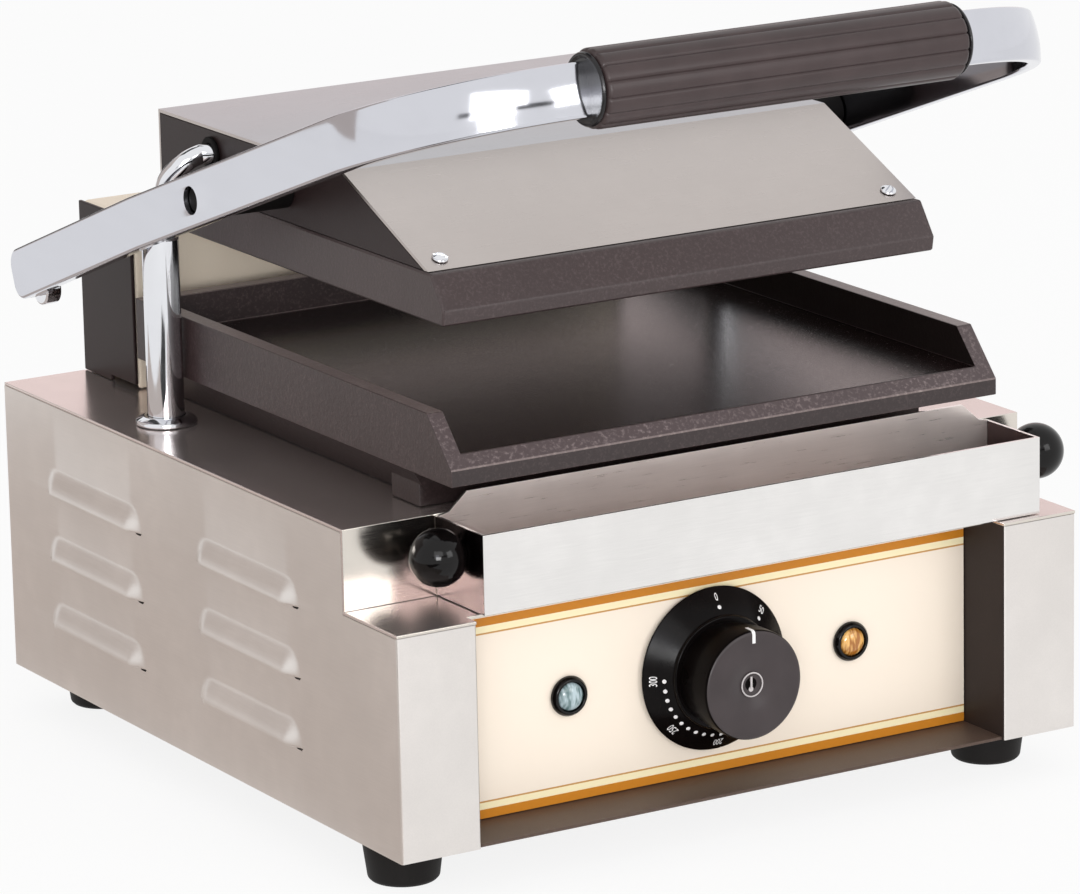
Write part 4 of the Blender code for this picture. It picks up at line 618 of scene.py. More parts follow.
def louvre_lines():
    """Grid lines of the outer face, fine where a louvre is. Each row says whether the hoods raise it."""
    flat = LOUVRE_L / 2 - LOUVRE_END
    ends = [flat + LOUVRE_END * i / LOUVRE_STEPS for i in range(LOUVRE_STEPS + 1)]
    ys = [Y_FRONT, Y_NOTCH]
    for centre in sorted(LOUVRE_Y):
        ys += [centre - e for e in reversed(ends)] + [centre, *(centre + e for e in ends)]
    ys.append(Y_REAR)
    rows = [(Z_UNDER, False)]
    for lip in LOUVRE_LIPS:
        rows += [(lip, False), (lip, True)]
        rows += [(lip + LOUVRE_H * share, True) for share in LOUVRE_ROW_SHARES]
    rows += [(Z_LEDGE_UNDER, True), (Z_SIDE_TOP, True)]
    rows.sort(key=lambda row: row[0])
    return ys, rows


def folded_side(side, name):
    """The sheet with a thin slit under each hood's lip, open above the ledge in front of the notch."""
    ys, rows = louvre_lines()
    pillar_top = Z_LEDGE_UNDER + SHEET / 4
    bm = bmesh.new()
    grid = {}
    for i, y in enumerate(ys):
        for k, (z, raised) in enumerate(rows):
            out = hood(y, z) if raised else 0.0
            slit = 0.0
            if not raised and z in LOUVRE_LIPS and hood(y, z) > HOOD_LEAST:
                front_end = min(abs(y - centre + LOUVRE_L / 2) for centre in LOUVRE_Y)
                slit = SLIT_FRONT if front_end < LOUVRE_END / 2 else SLIT
            grid[i, k] = bm.verts.new((side * (HALF_W + out), y, z - slit))
    lips = {k for k in range(len(rows) - 1) if rows[k][0] == rows[k + 1][0]}
    for i in range(len(ys) - 1):
        for k in range(len(rows) - 1):
            if k in lips or (i == 0 and rows[k + 1][0] > pillar_top):
                continue
            bm.faces.new((grid[i, k], grid[i + 1, k], grid[i + 1, k + 1], grid[i, k + 1]))
    front = [grid[0, k] for k in range(len(rows)) if rows[k][0] < pillar_top and k not in lips]
    fold = [bm.verts.new((side * PILLAR_IN, v.co.y, v.co.z)) for v in front]
    back = [bm.verts.new((side * PILLAR_IN, Y_PANEL + SHEET, v.co.z)) for v in front]
    for a, b in ((front, fold), (fold, back)):
        for k in range(len(a) - 1):
            face = bm.faces.new((a[k], a[k + 1], b[k + 1], b[k]))
            # The return, from the fold back to the printed panel, takes slot 1, which is dark painted shade.
            face.material_index = int(a is fold)
    bmesh.ops.remove_doubles(bm, verts=bm.verts, dist=WELD / 2)
    bmesh.ops.recalc_face_normals(bm, faces=bm.faces)
    flat = [f for f in bm.faces if abs(f.normal.x) > 0.9 and f.calc_center_median().y > Y_NOTCH]
    if sum(f.normal.x for f in flat) * side < 0:
        bmesh.ops.reverse_faces(bm, faces=bm.faces)
    obj = linked(name, mesh_of(name, bm), steel)
    obj.data.materials.append(return_painted_shade)
    eased(obj, PILLAR_EASE, 4, 70)
    walled(obj, SHEET, -1)
    obj.data.shade_smooth()
    applied(obj)
    obj.data.set_sharp_from_angle(angle=math.radians(50))
    return obj


for side, word in SIDES:
    stands_for(folded_side(side, "louvred_side_" + word), "side_panel_" + word)

# Sheet pieces, castings and the printed panel keep their CAD shape. All but the lower plate are eased.
sheets = {
    "top_deck": (steel_deck, 0.25), "rear_panel": (steel, 0.3), "drip_tray": (steel_tray, 0.4),
    "lid_cover": (steel_lid, 0.4), "rear_box_cover": (steel_box, 0.3),
    "lid_side_left": (painted, 0.4), "lid_side_right": (painted, 0.4),
    "rear_box_side_left": (painted, 0.35), "rear_box_side_right": (painted, 0.35),
    "base_pan": (pan_paint, 0.3), "front_panel": (panel_print, 0.2), "upper_plate": (iron_lid, 0.5),
    "lower_plate": (iron, 0.0),
}
pieces = {node: finished(node, mat, ease * MM) for node, (mat, ease) in sheets.items()}


def sorted_faces(node, mats, slot_of):
    """Adds materials to a piece and gives each face the slot that its facing and its place ask for."""
    mesh = pieces[node].data
    for mat in mats:
        mesh.materials.append(mat)
    for face in mesh.polygons:
        face.material_index = slot_of(face)


def plate_slot(face):
    """1 is the cooking floor in painted shade, 2 the skirt in painted shade, 3 the front slope with a painted
    highlight, 4 a ridge with a painted highlight, 5 the inside of a side rim in painted shade.
    """
    way = face.normal
    at = face.center
    if way.z > 0.99 and abs(at.z - PLATE_FLOOR) < 0.2 * MM:
        return 1
    if (way.y < -0.95 and way.z < 0.1 and at.y < PLATE_SKIRT_Y) or at.z < PLATE_SHOULDER - MM:
        return 2
    if way.y < -0.6 and 0.6 < way.z < 0.75:
        return 3
    if (way.y < -0.7 and 0.1 <= way.z <= 0.6) or (way.z > 0.9 and at.z > PLATE_RIM):
        return 4
    if abs(way.x) > 0.9 and at.z > PLATE_FLOOR and way.x * at.x < 0:
        return 5
    return 0


def lid_slot(face):
    """1 is the level top, painted cooler and darker than the slope as a painted reflection."""
    return int(face.normal.z > 0.99)


def tray_slot(face):
    """1 is the floor and the front of the rear wall, painted lighter and warmer as a painted reflection, and
    2 the two ends, painted dark as painted shade.
    """
    way = face.normal
    at = face.center
    if abs(way.x) > 0.9:
        return 2
    return int(at.y > Y_FRONT + 6 * MM and ((way.z > 0.9 and at.z < TRAY_FLOOR) or way.y < -0.9))


def deck_slot(face):
    """1 is the riser between the ledge and the deck."""
    return int(face.normal.y < -0.9 and face.center.y < 0)


sorted_faces("lower_plate", (floor_enamel_painted_shade, iron_skirt_painted_shade, iron_slope_painted_highlight, iron_ridge_painted_highlight, iron_rim_painted_shade), plate_slot)
sorted_faces("lid_cover", (lid_top_painted_reflection,), lid_slot)
sorted_faces("drip_tray", (tray_inside_painted_reflection, tray_end_painted_shade), tray_slot)
sorted_faces("top_deck", (steel_step,), deck_slot)

# Feet, each with the stem and bead that hold it in the pan. Turned profiles are in mm.
foot_profile = rounded(in_mm([
    (0, 0), (0, 11.8), (1.2, 13), (16.2, 15), (16.2, 4.2), (18, 4.2), (18, 6.5), (22, 4.2),
    (22, 0)]), 0.6 * MM)
for word in ("front_left", "front_right", "rear_left", "rear_right"):
    at = centre_of("foot_" + word)
    at.z = 0
    stands_for(turned("rubber_foot_" + word, foot_profile, at, (0, 0, 1), rubber), "foot_" + word)

# Dial: a flared black ring with its scale, and the knob in front of it
FLARE_OUT = (2.2 * MM, 31 * MM)
FLARE_IN = (8.35 * MM, 21.25 * MM)
PRINT_LIFT = 0.06 * MM
DOT_R = 0.8 * MM
DOT_FLAT = 0.12
DOT_RING_R = 24 * MM
NUMBER_H = 4.3 * MM
NUMBER_SQUEEZE = 0.62
NUMBER_T = 0.03 * MM
NUMBER_RING_R = 27.3 * MM
DEGREES_PER_UNIT = 0.9
dial_at = (0, Y_PANEL, DIAL_Z)
profile = [
    *in_mm([(0.3, 3.6), (0.3, 28.6)]), FLARE_OUT, FLARE_IN, *in_mm([(9.5, 21.0), (9.5, 3.6), (0.3, 3.6)])]
dial = turned("flared_dial", rounded(profile, 0.7 * MM), dial_at, (0, -1, 0), dial_black, 128)
stands_for(dial, "thermostat_dial")
flare_slope = math.atan2(FLARE_IN[0] - FLARE_OUT[0], FLARE_OUT[1] - FLARE_IN[1])


def on_flare(mesh, name, radius, clockwise, mat):
    """Lays a flat mesh on the dial's flared face, its top outward, at a clock angle."""
    share = (FLARE_OUT[1] - radius) / (FLARE_OUT[1] - FLARE_IN[1])
    height = FLARE_OUT[0] + (FLARE_IN[0] - FLARE_OUT[0]) * share + PRINT_LIFT
    mesh.transform(Matrix.Rotation(-flare_slope, 4, "X"))
    mesh.transform(Matrix.Translation((0, radius, height)))
    mesh.transform(Matrix.Rotation(-math.radians(clockwise), 4, "Z"))
    mesh.transform(Matrix.Translation(dial_at) @ Matrix.Rotation(math.radians(90), 4, "X"))
    piece = linked(name, mesh, mat)
    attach(piece, "base")


def dot_mesh():
    bm = bmesh.new()
    bmesh.ops.create_uvsphere(bm, u_segments=20, v_segments=10, radius=DOT_R)
    bmesh.ops.scale(bm, vec=(1, 1, DOT_FLAT), verts=bm.verts)
    mesh = mesh_of("dot", bm)
    mesh.shade_smooth()
    return mesh


for mark in (0, 50, 100, 150, *range(200, 301, 10)):
    on_flare(dot_mesh(), "scale_dot_%d" % mark, DOT_RING_R, mark * DEGREES_PER_UNIT, white_print)
for mark in range(0, 301, 50):
    label = written(str(mark), NUMBER_H, NUMBER_SQUEEZE)
    on_flare(label, "scale_number_%d" % mark, NUMBER_RING_R, mark * DEGREES_PER_UNIT, white_print)

KNOB_LOW = 9.8 * MM
KNOB_TOP = 29.3 * MM
KNOB_R = 20.5 * MM
DISH_R = 12.2 * MM
DISH_DEEP = 2.6 * MM
DISH_STEPS = 10
dish = [(KNOB_TOP - DISH_DEEP * (0.5 + 0.5 * math.cos(math.pi * i / DISH_STEPS)), DISH_R * i / DISH_STEPS)
        for i in range(DISH_STEPS + 1)]
rim = [(KNOB_TOP, 15 * MM), (KNOB_TOP, KNOB_R - 0.1 * MM), (20 * MM, KNOB_R), (KNOB_LOW, 19.2 * MM)]
rim = rounded(rim, 1.6 * MM, 6)
socket = in_mm([(9.8, 3.4), (21.7, 3.4), (21.7, 0)])
knob = turned("thermostat_cap", dish + rim + socket, dial_at, (0, -1, 0), knob_side, 128)
knob.data.materials.append(knob_face)
for face in knob.data.polygons:
    if face.normal.y < -0.75 and face.center.y < Y_PANEL - 27 * MM:
        face.material_index = 1
stands_for(knob, "thermostat_knob")

POINTER_W = 1.3 * MM
POINTER_T = 0.1 * MM
POINTER_LIFT = 0.04 * MM


def ribbon(name, points, mat):
    """A thin print that follows points of (distance in front of the panel, height over the knob's middle)."""
    bm = bmesh.new()
    rows = [[bm.verts.new((x, Y_PANEL - out, DIAL_Z + up)) for x in (-POINTER_W / 2, POINTER_W / 2)]
            for out, up in points]
    for a, b in zip(rows, rows[1:]):
        bm.faces.new((a[0], a[1], b[1], b[0]))
    bmesh.ops.recalc_face_normals(bm, faces=bm.faces)
    piece = linked(name, mesh_of(name, bm), mat)
    walled(piece, POINTER_T, 0)
    applied(piece)
    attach(piece, body_of("thermostat_knob"))


pointer = [(along + POINTER_LIFT, radius + POINTER_LIFT)
           for along, radius in rim if along > 25 * MM and radius > 16 * MM]
pointer = [(KNOB_TOP + POINTER_LIFT, 15.8 * MM), *pointer, (24.5 * MM, KNOB_R + POINTER_LIFT)]
ribbon("knob_pointer", pointer, white_print)

# A plain thermometer in a ring, on the knob's dish
SYMBOL_R = 4.4 * MM
SYMBOL_Y = Y_PANEL - 27.9 * MM
BULB_Y = Y_PANEL - 26.9 * MM
STEM_Y = Y_PANEL - 27.3 * MM
ring_path = [Vector((SYMBOL_R * math.cos(a), SYMBOL_Y, DIAL_Z + SYMBOL_R * math.sin(a)))
             for a in (2 * math.pi * i / 48 for i in range(49))]
symbol = skinned("knob_symbol_ring", tube_rings(ring_path, 0.28 * MM, 8), symbol_print)
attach(symbol, body_of("thermostat_knob"))
profile = in_mm([(0, 0.0), (0, 0.95), (0.25, 0.95), (0.4, 0.0)])
bulb = turned("knob_symbol_bulb", profile, (0, BULB_Y, DIAL_Z - 1.9 * MM), (0, -1, 0), symbol_print, 24)
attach(bulb, body_of("thermostat_knob"))
stem = [Vector((0, STEM_Y, DIAL_Z + up * MM)) for up in (-1.6, 0.4, 2.6, 2.9)]
stalk = skinned("knob_symbol_stem", tube_rings(stem, 0.42 * MM, 12), symbol_print)
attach(stalk, body_of("thermostat_knob"))

# Lamps: a black bezel round a domed lens
LAMP_REAR = -16 * MM
BEZEL_BORE_LIP = 1.4 * MM
BEZEL_GAP = 0.25 * MM
DOME_LOW = 1.5 * MM
DOME_H = 2.9 * MM
for side, word, lens in ((-1, "left", grey_lens), (1, "right", amber)):
    at = (side * LAMP_X, Y_PANEL, LAMP_Z)
    low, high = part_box("lamp_bezel_" + word)
    bezel = (high.x - low.x) / 2
    low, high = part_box("lamp_lens_" + word)
    glass = (high.x - low.x) / 2
    bore = glass - BEZEL_BORE_LIP
    seat = glass + BEZEL_GAP
    profile = [
        (LAMP_REAR, bore), (LAMP_REAR, 5.4 * MM), (0.3 * MM, 5.4 * MM), (0.3 * MM, bezel), (1.5 * MM, bezel),
        (3 * MM, glass + 1.2 * MM), (3 * MM, seat), (0.7 * MM, seat), (0.7 * MM, bore), (LAMP_REAR, bore)]
    ring = turned("lamp_ring_" + word, rounded(profile, 0.5 * MM), at, (0, -1, 0), gloss_black)
    stands_for(ring, "lamp_bezel_" + word)
    dome = [(DOME_LOW + DOME_H * math.cos(a), glass * math.sin(a))
            for a in (math.pi * i / 24 for i in range(13))]
    profile = dome + [(0.9 * MM, glass), (0.9 * MM, 0)]
    stands_for(turned("lamp_glass_" + word, profile, at, (0, -1, 0), lens, 64), "lamp_lens_" + word)

# Posts, their collars and the rods, which rise, bend over and run straight into the lid's sides
ROD_R = 3.8 * MM
ROD_FOOT_Z = 0.2038
# Places that the right rod bends through, in mm
ROD_ROUTE = [
    (121.6, 69.917, 212.3), (121.6, 69.917, 214.5), (120.51, 67.73, 223.25), (114.45, 64.48, 229.81),
    (108.39, 64.51, 232.0)]
ROD_STRAIGHT_X = 0.1073
ROD_TIP_X = 0.0928
post_profile = rounded(in_mm([(97, 0), (97, 7), (201.6, 7), (203.3, 5.2), (203.5, 0)]), 0.8 * MM)
collar_profile = rounded(in_mm([
    (133.4, 7.3), (133.4, 8.6), (131.9, 11.5), (130.3, 11.75), (130.3, 9.5), (19.0, 9.5), (19.0, 7.3),
    (133.4, 7.3)]), 0.5 * MM)
bush_profile = rounded(in_mm([
    (105.3, 4.1), (105.3, 6.3), (104.1, 6.3), (104.1, 5.4), (97.8, 5.4), (97.8, 4.1),
    (105.3, 4.1)]), 0.3 * MM)
for side, word in SIDES:
    foot = Vector((side * POST_X, POST_Y, 0))
    stands_for(turned("chrome_post_" + word, post_profile, foot, (0, 0, 1), chrome_rod), "post_" + word)
    collar = turned("chrome_collar_" + word, collar_profile, foot, (0, 0, 1), chrome_rod)
    stands_for(collar, "post_guide_" + word)
    route = [(side * x * MM, y * MM, z * MM) for x, y, z in ROD_ROUTE]
    path = [Vector((route[0][0], POST_Y, ROD_FOOT_Z)), *smooth_path(route, 10),
            Vector((side * ROD_STRAIGHT_X, AXIS_Y, AXIS_Z)), Vector((side * ROD_TIP_X, AXIS_Y, AXIS_Z))]
    stands_for(skinned("chrome_rod_" + word, tube_rings(path, ROD_R), chrome_rod), "hinge_rod_" + word)
    bush = turned("rod_bush_" + word, bush_profile, (0, AXIS_Y, AXIS_Z), (side, 0, 0), dark_recess, 64)
    stands_for(bush, "hinge_bush_" + word)


# Handle: a round-edged chrome bar bent to a U in its own tilted plane
def held(x, back, up):
    """A place in the handle's frame: back runs to the rear along the arms, up is square to them."""
    y = PIVOT_Y + back * math.cos(ARM_TILT) + up * math.sin(ARM_TILT)
    return Vector((x, y, PIVOT_Z - back * math.sin(ARM_TILT) + up * math.cos(ARM_TILT)))


BAR_T = 6.0 * MM
BAR_H = 19.5 * MM
BAR_EDGE = 1.1 * MM
BAR_CROWN = 1.3 * MM
BAR_END_R = 5.5 * MM
BAR_EASE = 0.7 * MM
ARM_MID = 0.140
ARM_REAR = 0.159
ARM_BACKS = [0.14, 0.12, 0.10, 0.075, 0.05, 0.02, -0.02, -0.06, -0.09]
ARM_DROP = 2.5 * MM
ARM_DROP_FROM = 0.05
CROSS = 0.1763
BEND_R = 0.063
BEND_STEPS = 32
PIVOT_HOLE_R = 5.25 * MM
CUTTER_HALF = 0.16


def bar_section(low_v, high_v, crown):
    """Points (outward, upward) round the bar: crowned outside, flat inside, round at its edges."""
    half = (high_v - low_v) / 2
    middle = (high_v + low_v) / 2
    edge = min(BAR_EDGE, half * 0.9)
    reach = half - edge
    face = BAR_T / 2 - crown
    out = [(BAR_T / 2 - crown * (k / 4 - 1) ** 2, middle + reach * (k / 4 - 1)) for k in range(9)]
    outer = face - edge
    inner = edge - BAR_T / 2
    for sign, corner, start in ((1, outer, 0), (1, inner, 90), (-1, inner, 180), (-1, outer, 270)):
        for k in range(7):
            angle = math.radians(start + 15 * k)
            out.append((corner + edge * math.cos(angle), middle + sign * reach + edge * math.sin(angle)))
    return out


def bar_stations():
    """Points down the middle of the bar from one rear end to the other, each with its outward direction."""
    ends = [ARM_REAR - BAR_END_R * (1 - math.cos(math.pi / 2 * i / 8)) for i in range(9)]
    left = [(-ARM_MID, back, Vector((-1, 0)), 0.0) for back in ends + ARM_BACKS]
    turn_x = -ARM_MID + BEND_R
    turn_back = -CROSS + BEND_R
    for i in range(BEND_STEPS + 1):
        angle = math.radians(180 + 90 * i / BEND_STEPS)
        out = Vector((math.cos(angle), math.sin(angle)))
        left.append((turn_x + BEND_R * out.x, turn_back + BEND_R * out.y, out, i / BEND_STEPS))
    left.append((0.0, -CROSS, Vector((0, -1)), 1.0))
    right = [(-x, back, Vector((-out.x, out.y)), share) for x, back, out, share in reversed(left[:-1])]
    return left + right


rings = []
for x, back, out, share in bar_stations():
    drop = ARM_DROP * max(0.0, min(1.0, (back - ARM_DROP_FROM) / (ARM_REAR - ARM_DROP_FROM)))
    gap = ARM_REAR - back
    trim = BAR_END_R - math.sqrt(max(0.0, BAR_END_R ** 2 - max(0.0, BAR_END_R - gap) ** 2))
    section = bar_section(-BAR_H / 2 - drop + trim, BAR_H / 2 - drop - trim, BAR_CROWN * share ** 0.5)
    rings.append([held(x + out.x * n, back + out.y * n, v) for n, v in section])
bar = skinned("chrome_handle", rings, chrome, 60)
profile = [(-CUTTER_HALF, 0), (-CUTTER_HALF, PIVOT_HOLE_R), (CUTTER_HALF, PIVOT_HOLE_R), (CUTTER_HALF, 0)]
hole_cutter = turned("hole_cutter", profile, (0, PIVOT_Y, PIVOT_Z), (1, 0, 0), chrome, 64)
taken_out(bar, hole_cutter)
eased(bar, BAR_EASE, 3, 65)
applied(bar)
bpy.data.objects.remove(hole_cutter)
bar.data.shade_smooth()
bar.data.set_sharp_from_angle(angle=math.radians(60))
stands_for(bar, "handle_bar")

STUD_BACK = 0.151
STUD_UP = -9.6 * MM
pivot_profile = rounded(in_mm([
    (141, 0), (141, 4.7), (136.7, 4.8), (136.7, 7.5), (104.1, 7.5), (104.1, 4.8), (102.0, 4.8), (102.0, 7.5),
    (99.0, 7.2), (99.0, 0)]), 0.4 * MM)
stud_profile = rounded(in_mm([
    (139.7, 0), (139.7, 1.5), (136.7, 1.5), (136.7, 6.25), (130.2, 6.0), (130.0, 0)]), 0.8 * MM)
for side, word in SIDES:
    pin = turned("arm_pivot_" + word, pivot_profile, (0, PIVOT_Y, PIVOT_Z), (side, 0, 0), dark_recess, 64)
    stands_for(pin, "handle_pivot_" + word)
    stud_at = held(0, STUD_BACK, STUD_UP)
    stud = turned("arm_stud_" + word, stud_profile, stud_at, (side, 0, 0), chrome_rod, 64)
    stands_for(stud, "stop_stud_" + word)

# Grip: fourteen broad flutes between two capped ends
GRIP_HALF = 0.075
GRIP_R = 14.2 * MM
GRIP_EASE = 2.0 * MM
FLUTES = 14
FLUTE_STEPS = 14
FLUTE_DEEP = 0.55 * MM
FLUTE_NARROW = 0.07
FLUTE_CROWN = 0.25 * MM


def grip_ring(x, shrink):
    ring = []
    for i in range(FLUTES * FLUTE_STEPS):
        angle = 2 * math.pi * i / (FLUTES * FLUTE_STEPS)
        place = (i % FLUTE_STEPS) / FLUTE_STEPS
        near = min(place, 1 - place)
        groove = FLUTE_DEEP * math.exp(-(near / FLUTE_NARROW) ** 2)
        radius = GRIP_R - shrink - groove - FLUTE_CROWN * (1 - math.sin(math.pi * place))
        ring.append(held(x, -CROSS + radius * math.cos(angle), radius * math.sin(angle)))
    return ring


ends = [(GRIP_HALF - GRIP_EASE * (1 - math.sin(a)), GRIP_EASE * (1 - math.cos(a)))
        for a in (math.pi / 2 * i / 6 for i in range(7))]
stations = [(-x, shrink) for x, shrink in reversed(ends)] + [(0.0, 0.0)] + ends
grip = skinned("fluted_grip", [grip_ring(x, shrink) for x, shrink in stations], grip_brown, 50)
stands_for(grip, "handle_grip")
cap_profile = rounded(in_mm([
    (75.2, 0), (75.2, 12.3), (75.9, 13.2), (76.9, 12.6), (76.9, 11.6), (76.3, 11.0), (76.3, 0)]), 0.3 * MM)
for side, word in SIDES:
    cap = turned("grip_cap_" + word, cap_profile, held(0, -CROSS, 0), (side, 0, 0), cap_black, 96)
    stands_for(cap, "grip_ring_" + word)

# Tray knobs: black balls on short necks, in mm
BALL_MID = 128.6
BALL_R = 10.5
BALL_STEPS = 28
ball = [(BALL_MID + BALL_R * math.cos(a), BALL_R * math.sin(a))
        for a in (math.radians(130) * i / BALL_STEPS for i in range(BALL_STEPS + 1))]
ball_profile = in_mm(ball + [(120.6, 5.2), (119.6, 5.0), (119.6, 2.0), (115.2, 2.0), (115.2, 0)])
for side, word in SIDES:
    at = (TRAY_X, TRAY_KNOB_Y, TRAY_KNOB_Z)
    ball_piece = turned("ball_knob_" + word, ball_profile, at, (side, 0, 0), gloss_black, 96, 60)
    stands_for(ball_piece, "tray_knob_" + word)

# Slotted screws on the lid's slope
LID_SLOPE = math.atan2(0.0260, 0.0603)
SCREW_X = 0.0955
SCREW_Y = -0.08991
SCREW_Z = 0.21857
SLOT_OUT = 1.9 * MM
SLOT_SIZE = (8 * MM, 0.8 * MM, 1.6 * MM)
SLOT_TURN = 35
outward = Vector((0, -math.sin(LID_SLOPE), math.cos(LID_SLOPE)))
screw_profile = rounded(in_mm([
    (1.8, 0), (1.75, 1.6), (1.0, 2.9), (0.3, 3.1), (0.3, 1.5), (-6.2, 1.5), (-6.2, 0)]), 0.5 * MM)
for side, word in SIDES:
    at = Vector((side * SCREW_X, SCREW_Y, SCREW_Z))
    screw = turned("slotted_screw_" + word, screw_profile, at, outward, chrome_rod, 48)
    bm = bmesh.new()
    bmesh.ops.create_cube(bm, size=1)
    turn = Matrix.Translation(at + outward * SLOT_OUT) @ outward.to_track_quat("Z", "Y").to_matrix().to_4x4()
    turn = turn @ Matrix.Rotation(math.radians(SLOT_TURN * side), 4, "Z") @ Matrix.Diagonal((*SLOT_SIZE, 1))
    bmesh.ops.transform(bm, matrix=turn, verts=bm.verts)
    blade = linked("slot_cutter", mesh_of("slot_cutter", bm), dark_recess)
    taken_out(screw, blade)
    applied(screw)
    bpy.data.objects.remove(blade)
    stands_for(screw, "lid_screw_" + word)

# Springs under the posts, each a smooth copy of its node with a mesh of its own
for side, word in SIDES:
    spring = finished("post_spring_" + word, spring_steel, 0.0)
    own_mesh(spring)

# Looks of the nodes that no piece stands for, most of them inside
looks = {
    "cable_gland": gloss_black, "thermostat_shaft": zinc, "lower_element_clamp": zinc,
    "lower_heat_shield": zinc, "upper_element_clamp": zinc, "lower_insulation": wool,
    "upper_insulation": wool, "lower_element": sheath, "upper_element": sheath, "thermostat_bulb": bronze,
    "thermostat_body": ceramic, "terminal_block": ceramic, "wiring_loom": sleeve,
}
for node, obj in frame["nodes"].items():
    obj.data.materials.clear()
    obj.data.materials.append(looks.get(node, steel))


# The room: a pale floor, a white world and soft light, with cards that only gloss sees.
def seen_directly(tree):
    """One for rays from the camera, a mirror or glass, and zero for the light that falls on things."""
    path = tree.nodes.new("ShaderNodeLightPath")
    total = path.outputs["Is Camera Ray"]
    for key in ("Is Glossy Ray", "Is Transmission Ray"):
        most = tree.nodes.new("ShaderNodeMath")
        most.operation = "MAXIMUM"
        tree.links.new(total, most.inputs[0])
        tree.links.new(path.outputs[key], most.inputs[1])
        total = most.outputs[0]
    return total


FLOOR_GLOW = 0.86
WORLD_LIGHT = 0.74
floor_look = Look("pale_floor", linear(250, 250, 250), 0.9, Specular_IOR_Level=0.0)
floor_look.bump(floor_look.noise(60.0), 0.0001, 0.2)
tree = floor_look.tree
glow = tree.nodes.new("ShaderNodeEmission")
blend = tree.nodes.new("ShaderNodeMixShader")
share = tree.nodes.new("ShaderNodeMath")
share.operation = "MULTIPLY"
share.inputs[1].default_value = FLOOR_GLOW
tree.links.new(seen_directly(tree), share.inputs[0])
tree.links.new(share.outputs[0], blend.inputs[0])
tree.links.new(floor_look.shader.outputs[0], blend.inputs[1])
tree.links.new(glow.outputs[0], blend.inputs[2])
tree.links.new(blend.outputs[0], tree.nodes["Material Output"].inputs["Surface"])
bpy.ops.mesh.primitive_plane_add(size=24.0, location=(0, 0, 0))
floor = bpy.context.object
floor.name = "floor"
floor.data.materials.append(floor_look.mat)


def card(name, at, aim, width, height, level, tint=(1.0, 1.0, 1.0)):
    """A studio card that only reflections see."""
    bpy.ops.mesh.primitive_plane_add(size=1.0, location=at)
    made = bpy.context.object
    made.name = name
    made.scale = (width, height, 1)
    made.rotation_euler = (Vector(aim) - Vector(at)).to_track_quat("Z", "Y").to_euler()
    mat = bpy.data.materials.new(name)
    mat.use_nodes = True
    tree = mat.node_tree
    tree.nodes.clear()
    glow = tree.nodes.new("ShaderNodeEmission")
    glow.inputs["Color"].default_value = (*tint, 1)
    glow.inputs["Strength"].default_value = level
    out = tree.nodes.new("ShaderNodeOutputMaterial")
    tree.links.new(glow.outputs[0], out.inputs[0])
    made.data.materials.append(mat)
    made.visible_camera = False
    made.visible_diffuse = False
    made.visible_shadow = False
    made.visible_transmission = False


card("card_floor_left", (-0.41, 0.16, 0.001), (-0.41, 0.16, 1), 0.50, 0.92, 0.56, (1.0, 0.886, 0.822))
card("card_dark_rear", (0.05, 3.2, 0.75), (0, 0, 0.3), 1.8, 1.1, 0.04)
card("card_dark_high", (-0.2, 1.9, 3.0), (0, 0, 0.2), 1.9, 1.5, 0.06)
card("card_dark_band", (-0.9, -3.2, 1.15), (0, 0, 0.25), 5.0, 0.30, 0.03)
card("card_dark_floor", (-0.47, -0.46, 0.002), (-0.47, -0.46, 1), 0.26, 0.45, 0.06)
card("card_left_rear", (-0.80, 1.0, 0.62), (-0.14, 0.0, 0.10), 1.3, 1.2, 0.56, (1.0, 0.895, 0.84))
card("card_warm_rear", (1.5, 2.5, 0.85), (0, 0, 0.24), 2.2, 0.9, 1.0, (1.0, 0.86, 0.85))
card("card_dial", (-0.95, -2.75, 1.6), (0, 0, 0.06), 0.9, 0.9, 3.0)
card("card_soft_front", (-1.75, -2.7, 1.15), (0, 0, 0.1), 0.7, 0.7, 4.0, (0.88, 0.88, 1.0))

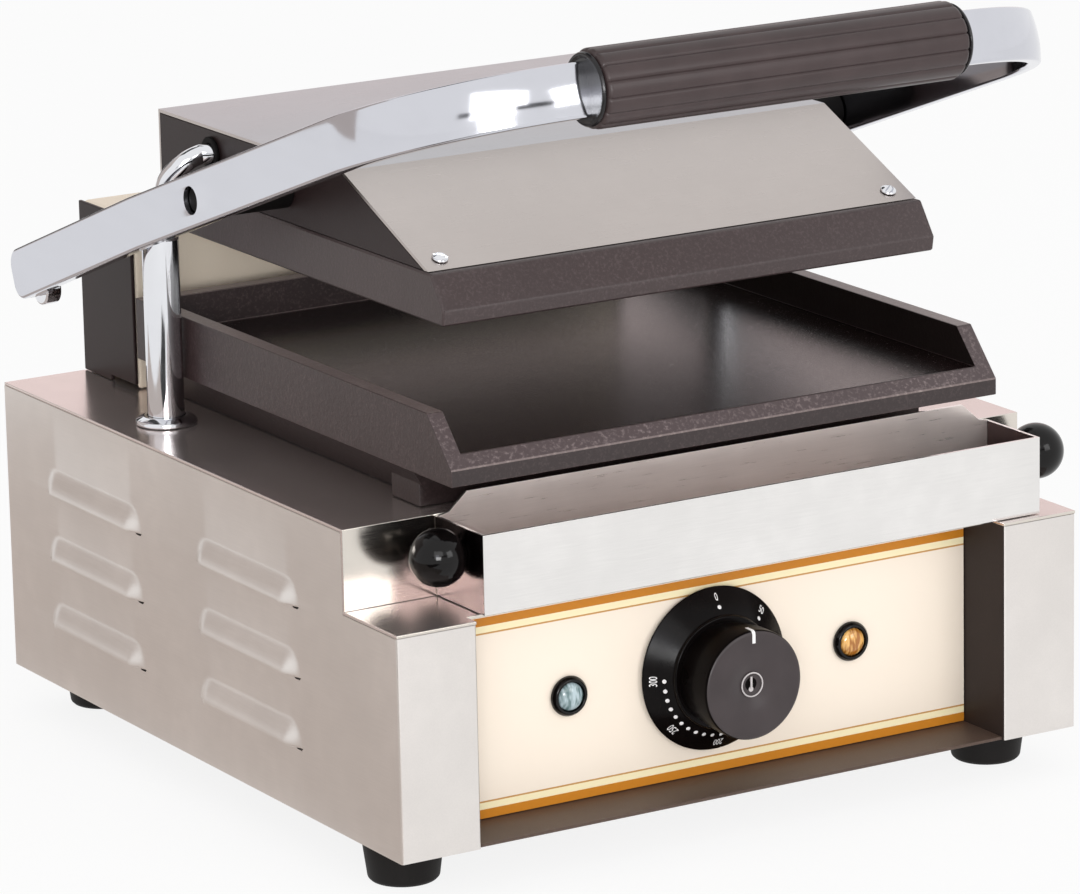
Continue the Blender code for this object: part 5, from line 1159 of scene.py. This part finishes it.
world = bpy.data.worlds.new("white_room")
scene.world = world
world.use_nodes = True
tree = world.node_tree
back = tree.nodes["Background"]
back.inputs["Color"].default_value = (1, 1, 1, 1)
level = tree.nodes.new("ShaderNodeMapRange")
level.inputs["To Min"].default_value = WORLD_LIGHT
level.inputs["To Max"].default_value = 1.0
tree.links.new(seen_directly(tree), level.inputs["Value"])
tree.links.new(level.outputs["Result"], back.inputs["Strength"])


def lamp(name, at, aim, size, watts):
    data = bpy.data.lights.new(name, "AREA")
    data.shape = "RECTANGLE"
    data.size, data.size_y = size
    data.energy = watts
    made = bpy.data.objects.new(name, data)
    made.location = at
    made.rotation_euler = (Vector(at) - Vector(aim)).to_track_quat("Z", "Y").to_euler()
    scene.collection.objects.link(made)


lamp("key_light", (-1.6, -2.6, 1.45), (0, 0, 0.15), (1.6, 1.6), 14)
lamp("low_light", (-1.5, -2.7, 0.66), (0, 0, 0.16), (1.0, 0.6), 25)
lamp("fill_light", (0.9, -2.9, 1.3), (0, 0, 0.15), (1.2, 1.2), 15)

# The camera stands where the photograph was taken.
AZIMUTH = math.radians(-30.88)
ELEVATION = math.radians(14.46)
ROLL = math.radians(-1.17)
CAMERA_AT = (-1.1403, -1.9031, 0.6889)
LENS = 202.7
SENSOR = 36.0
level_right = Vector((math.cos(AZIMUTH), math.sin(AZIMUTH), 0))
rear = Vector((
    math.sin(AZIMUTH) * math.cos(ELEVATION), -math.cos(AZIMUTH) * math.cos(ELEVATION), math.sin(ELEVATION)))
upright = rear.cross(level_right)
right = math.cos(ROLL) * level_right + math.sin(ROLL) * upright
top = -math.sin(ROLL) * level_right + math.cos(ROLL) * upright
camera = bpy.data.objects.new("camera", bpy.data.cameras.new("camera"))
camera.data.lens = LENS
camera.data.sensor_width = SENSOR
camera.data.sensor_fit = "HORIZONTAL"
camera.data.clip_end = 60.0
camera.matrix_world = Matrix.Translation(CAMERA_AT) @ Matrix((right, top, rear)).transposed().to_4x4()
scene.collection.objects.link(camera)
scene.camera = camera
scene.view_settings.view_transform = "Standard"
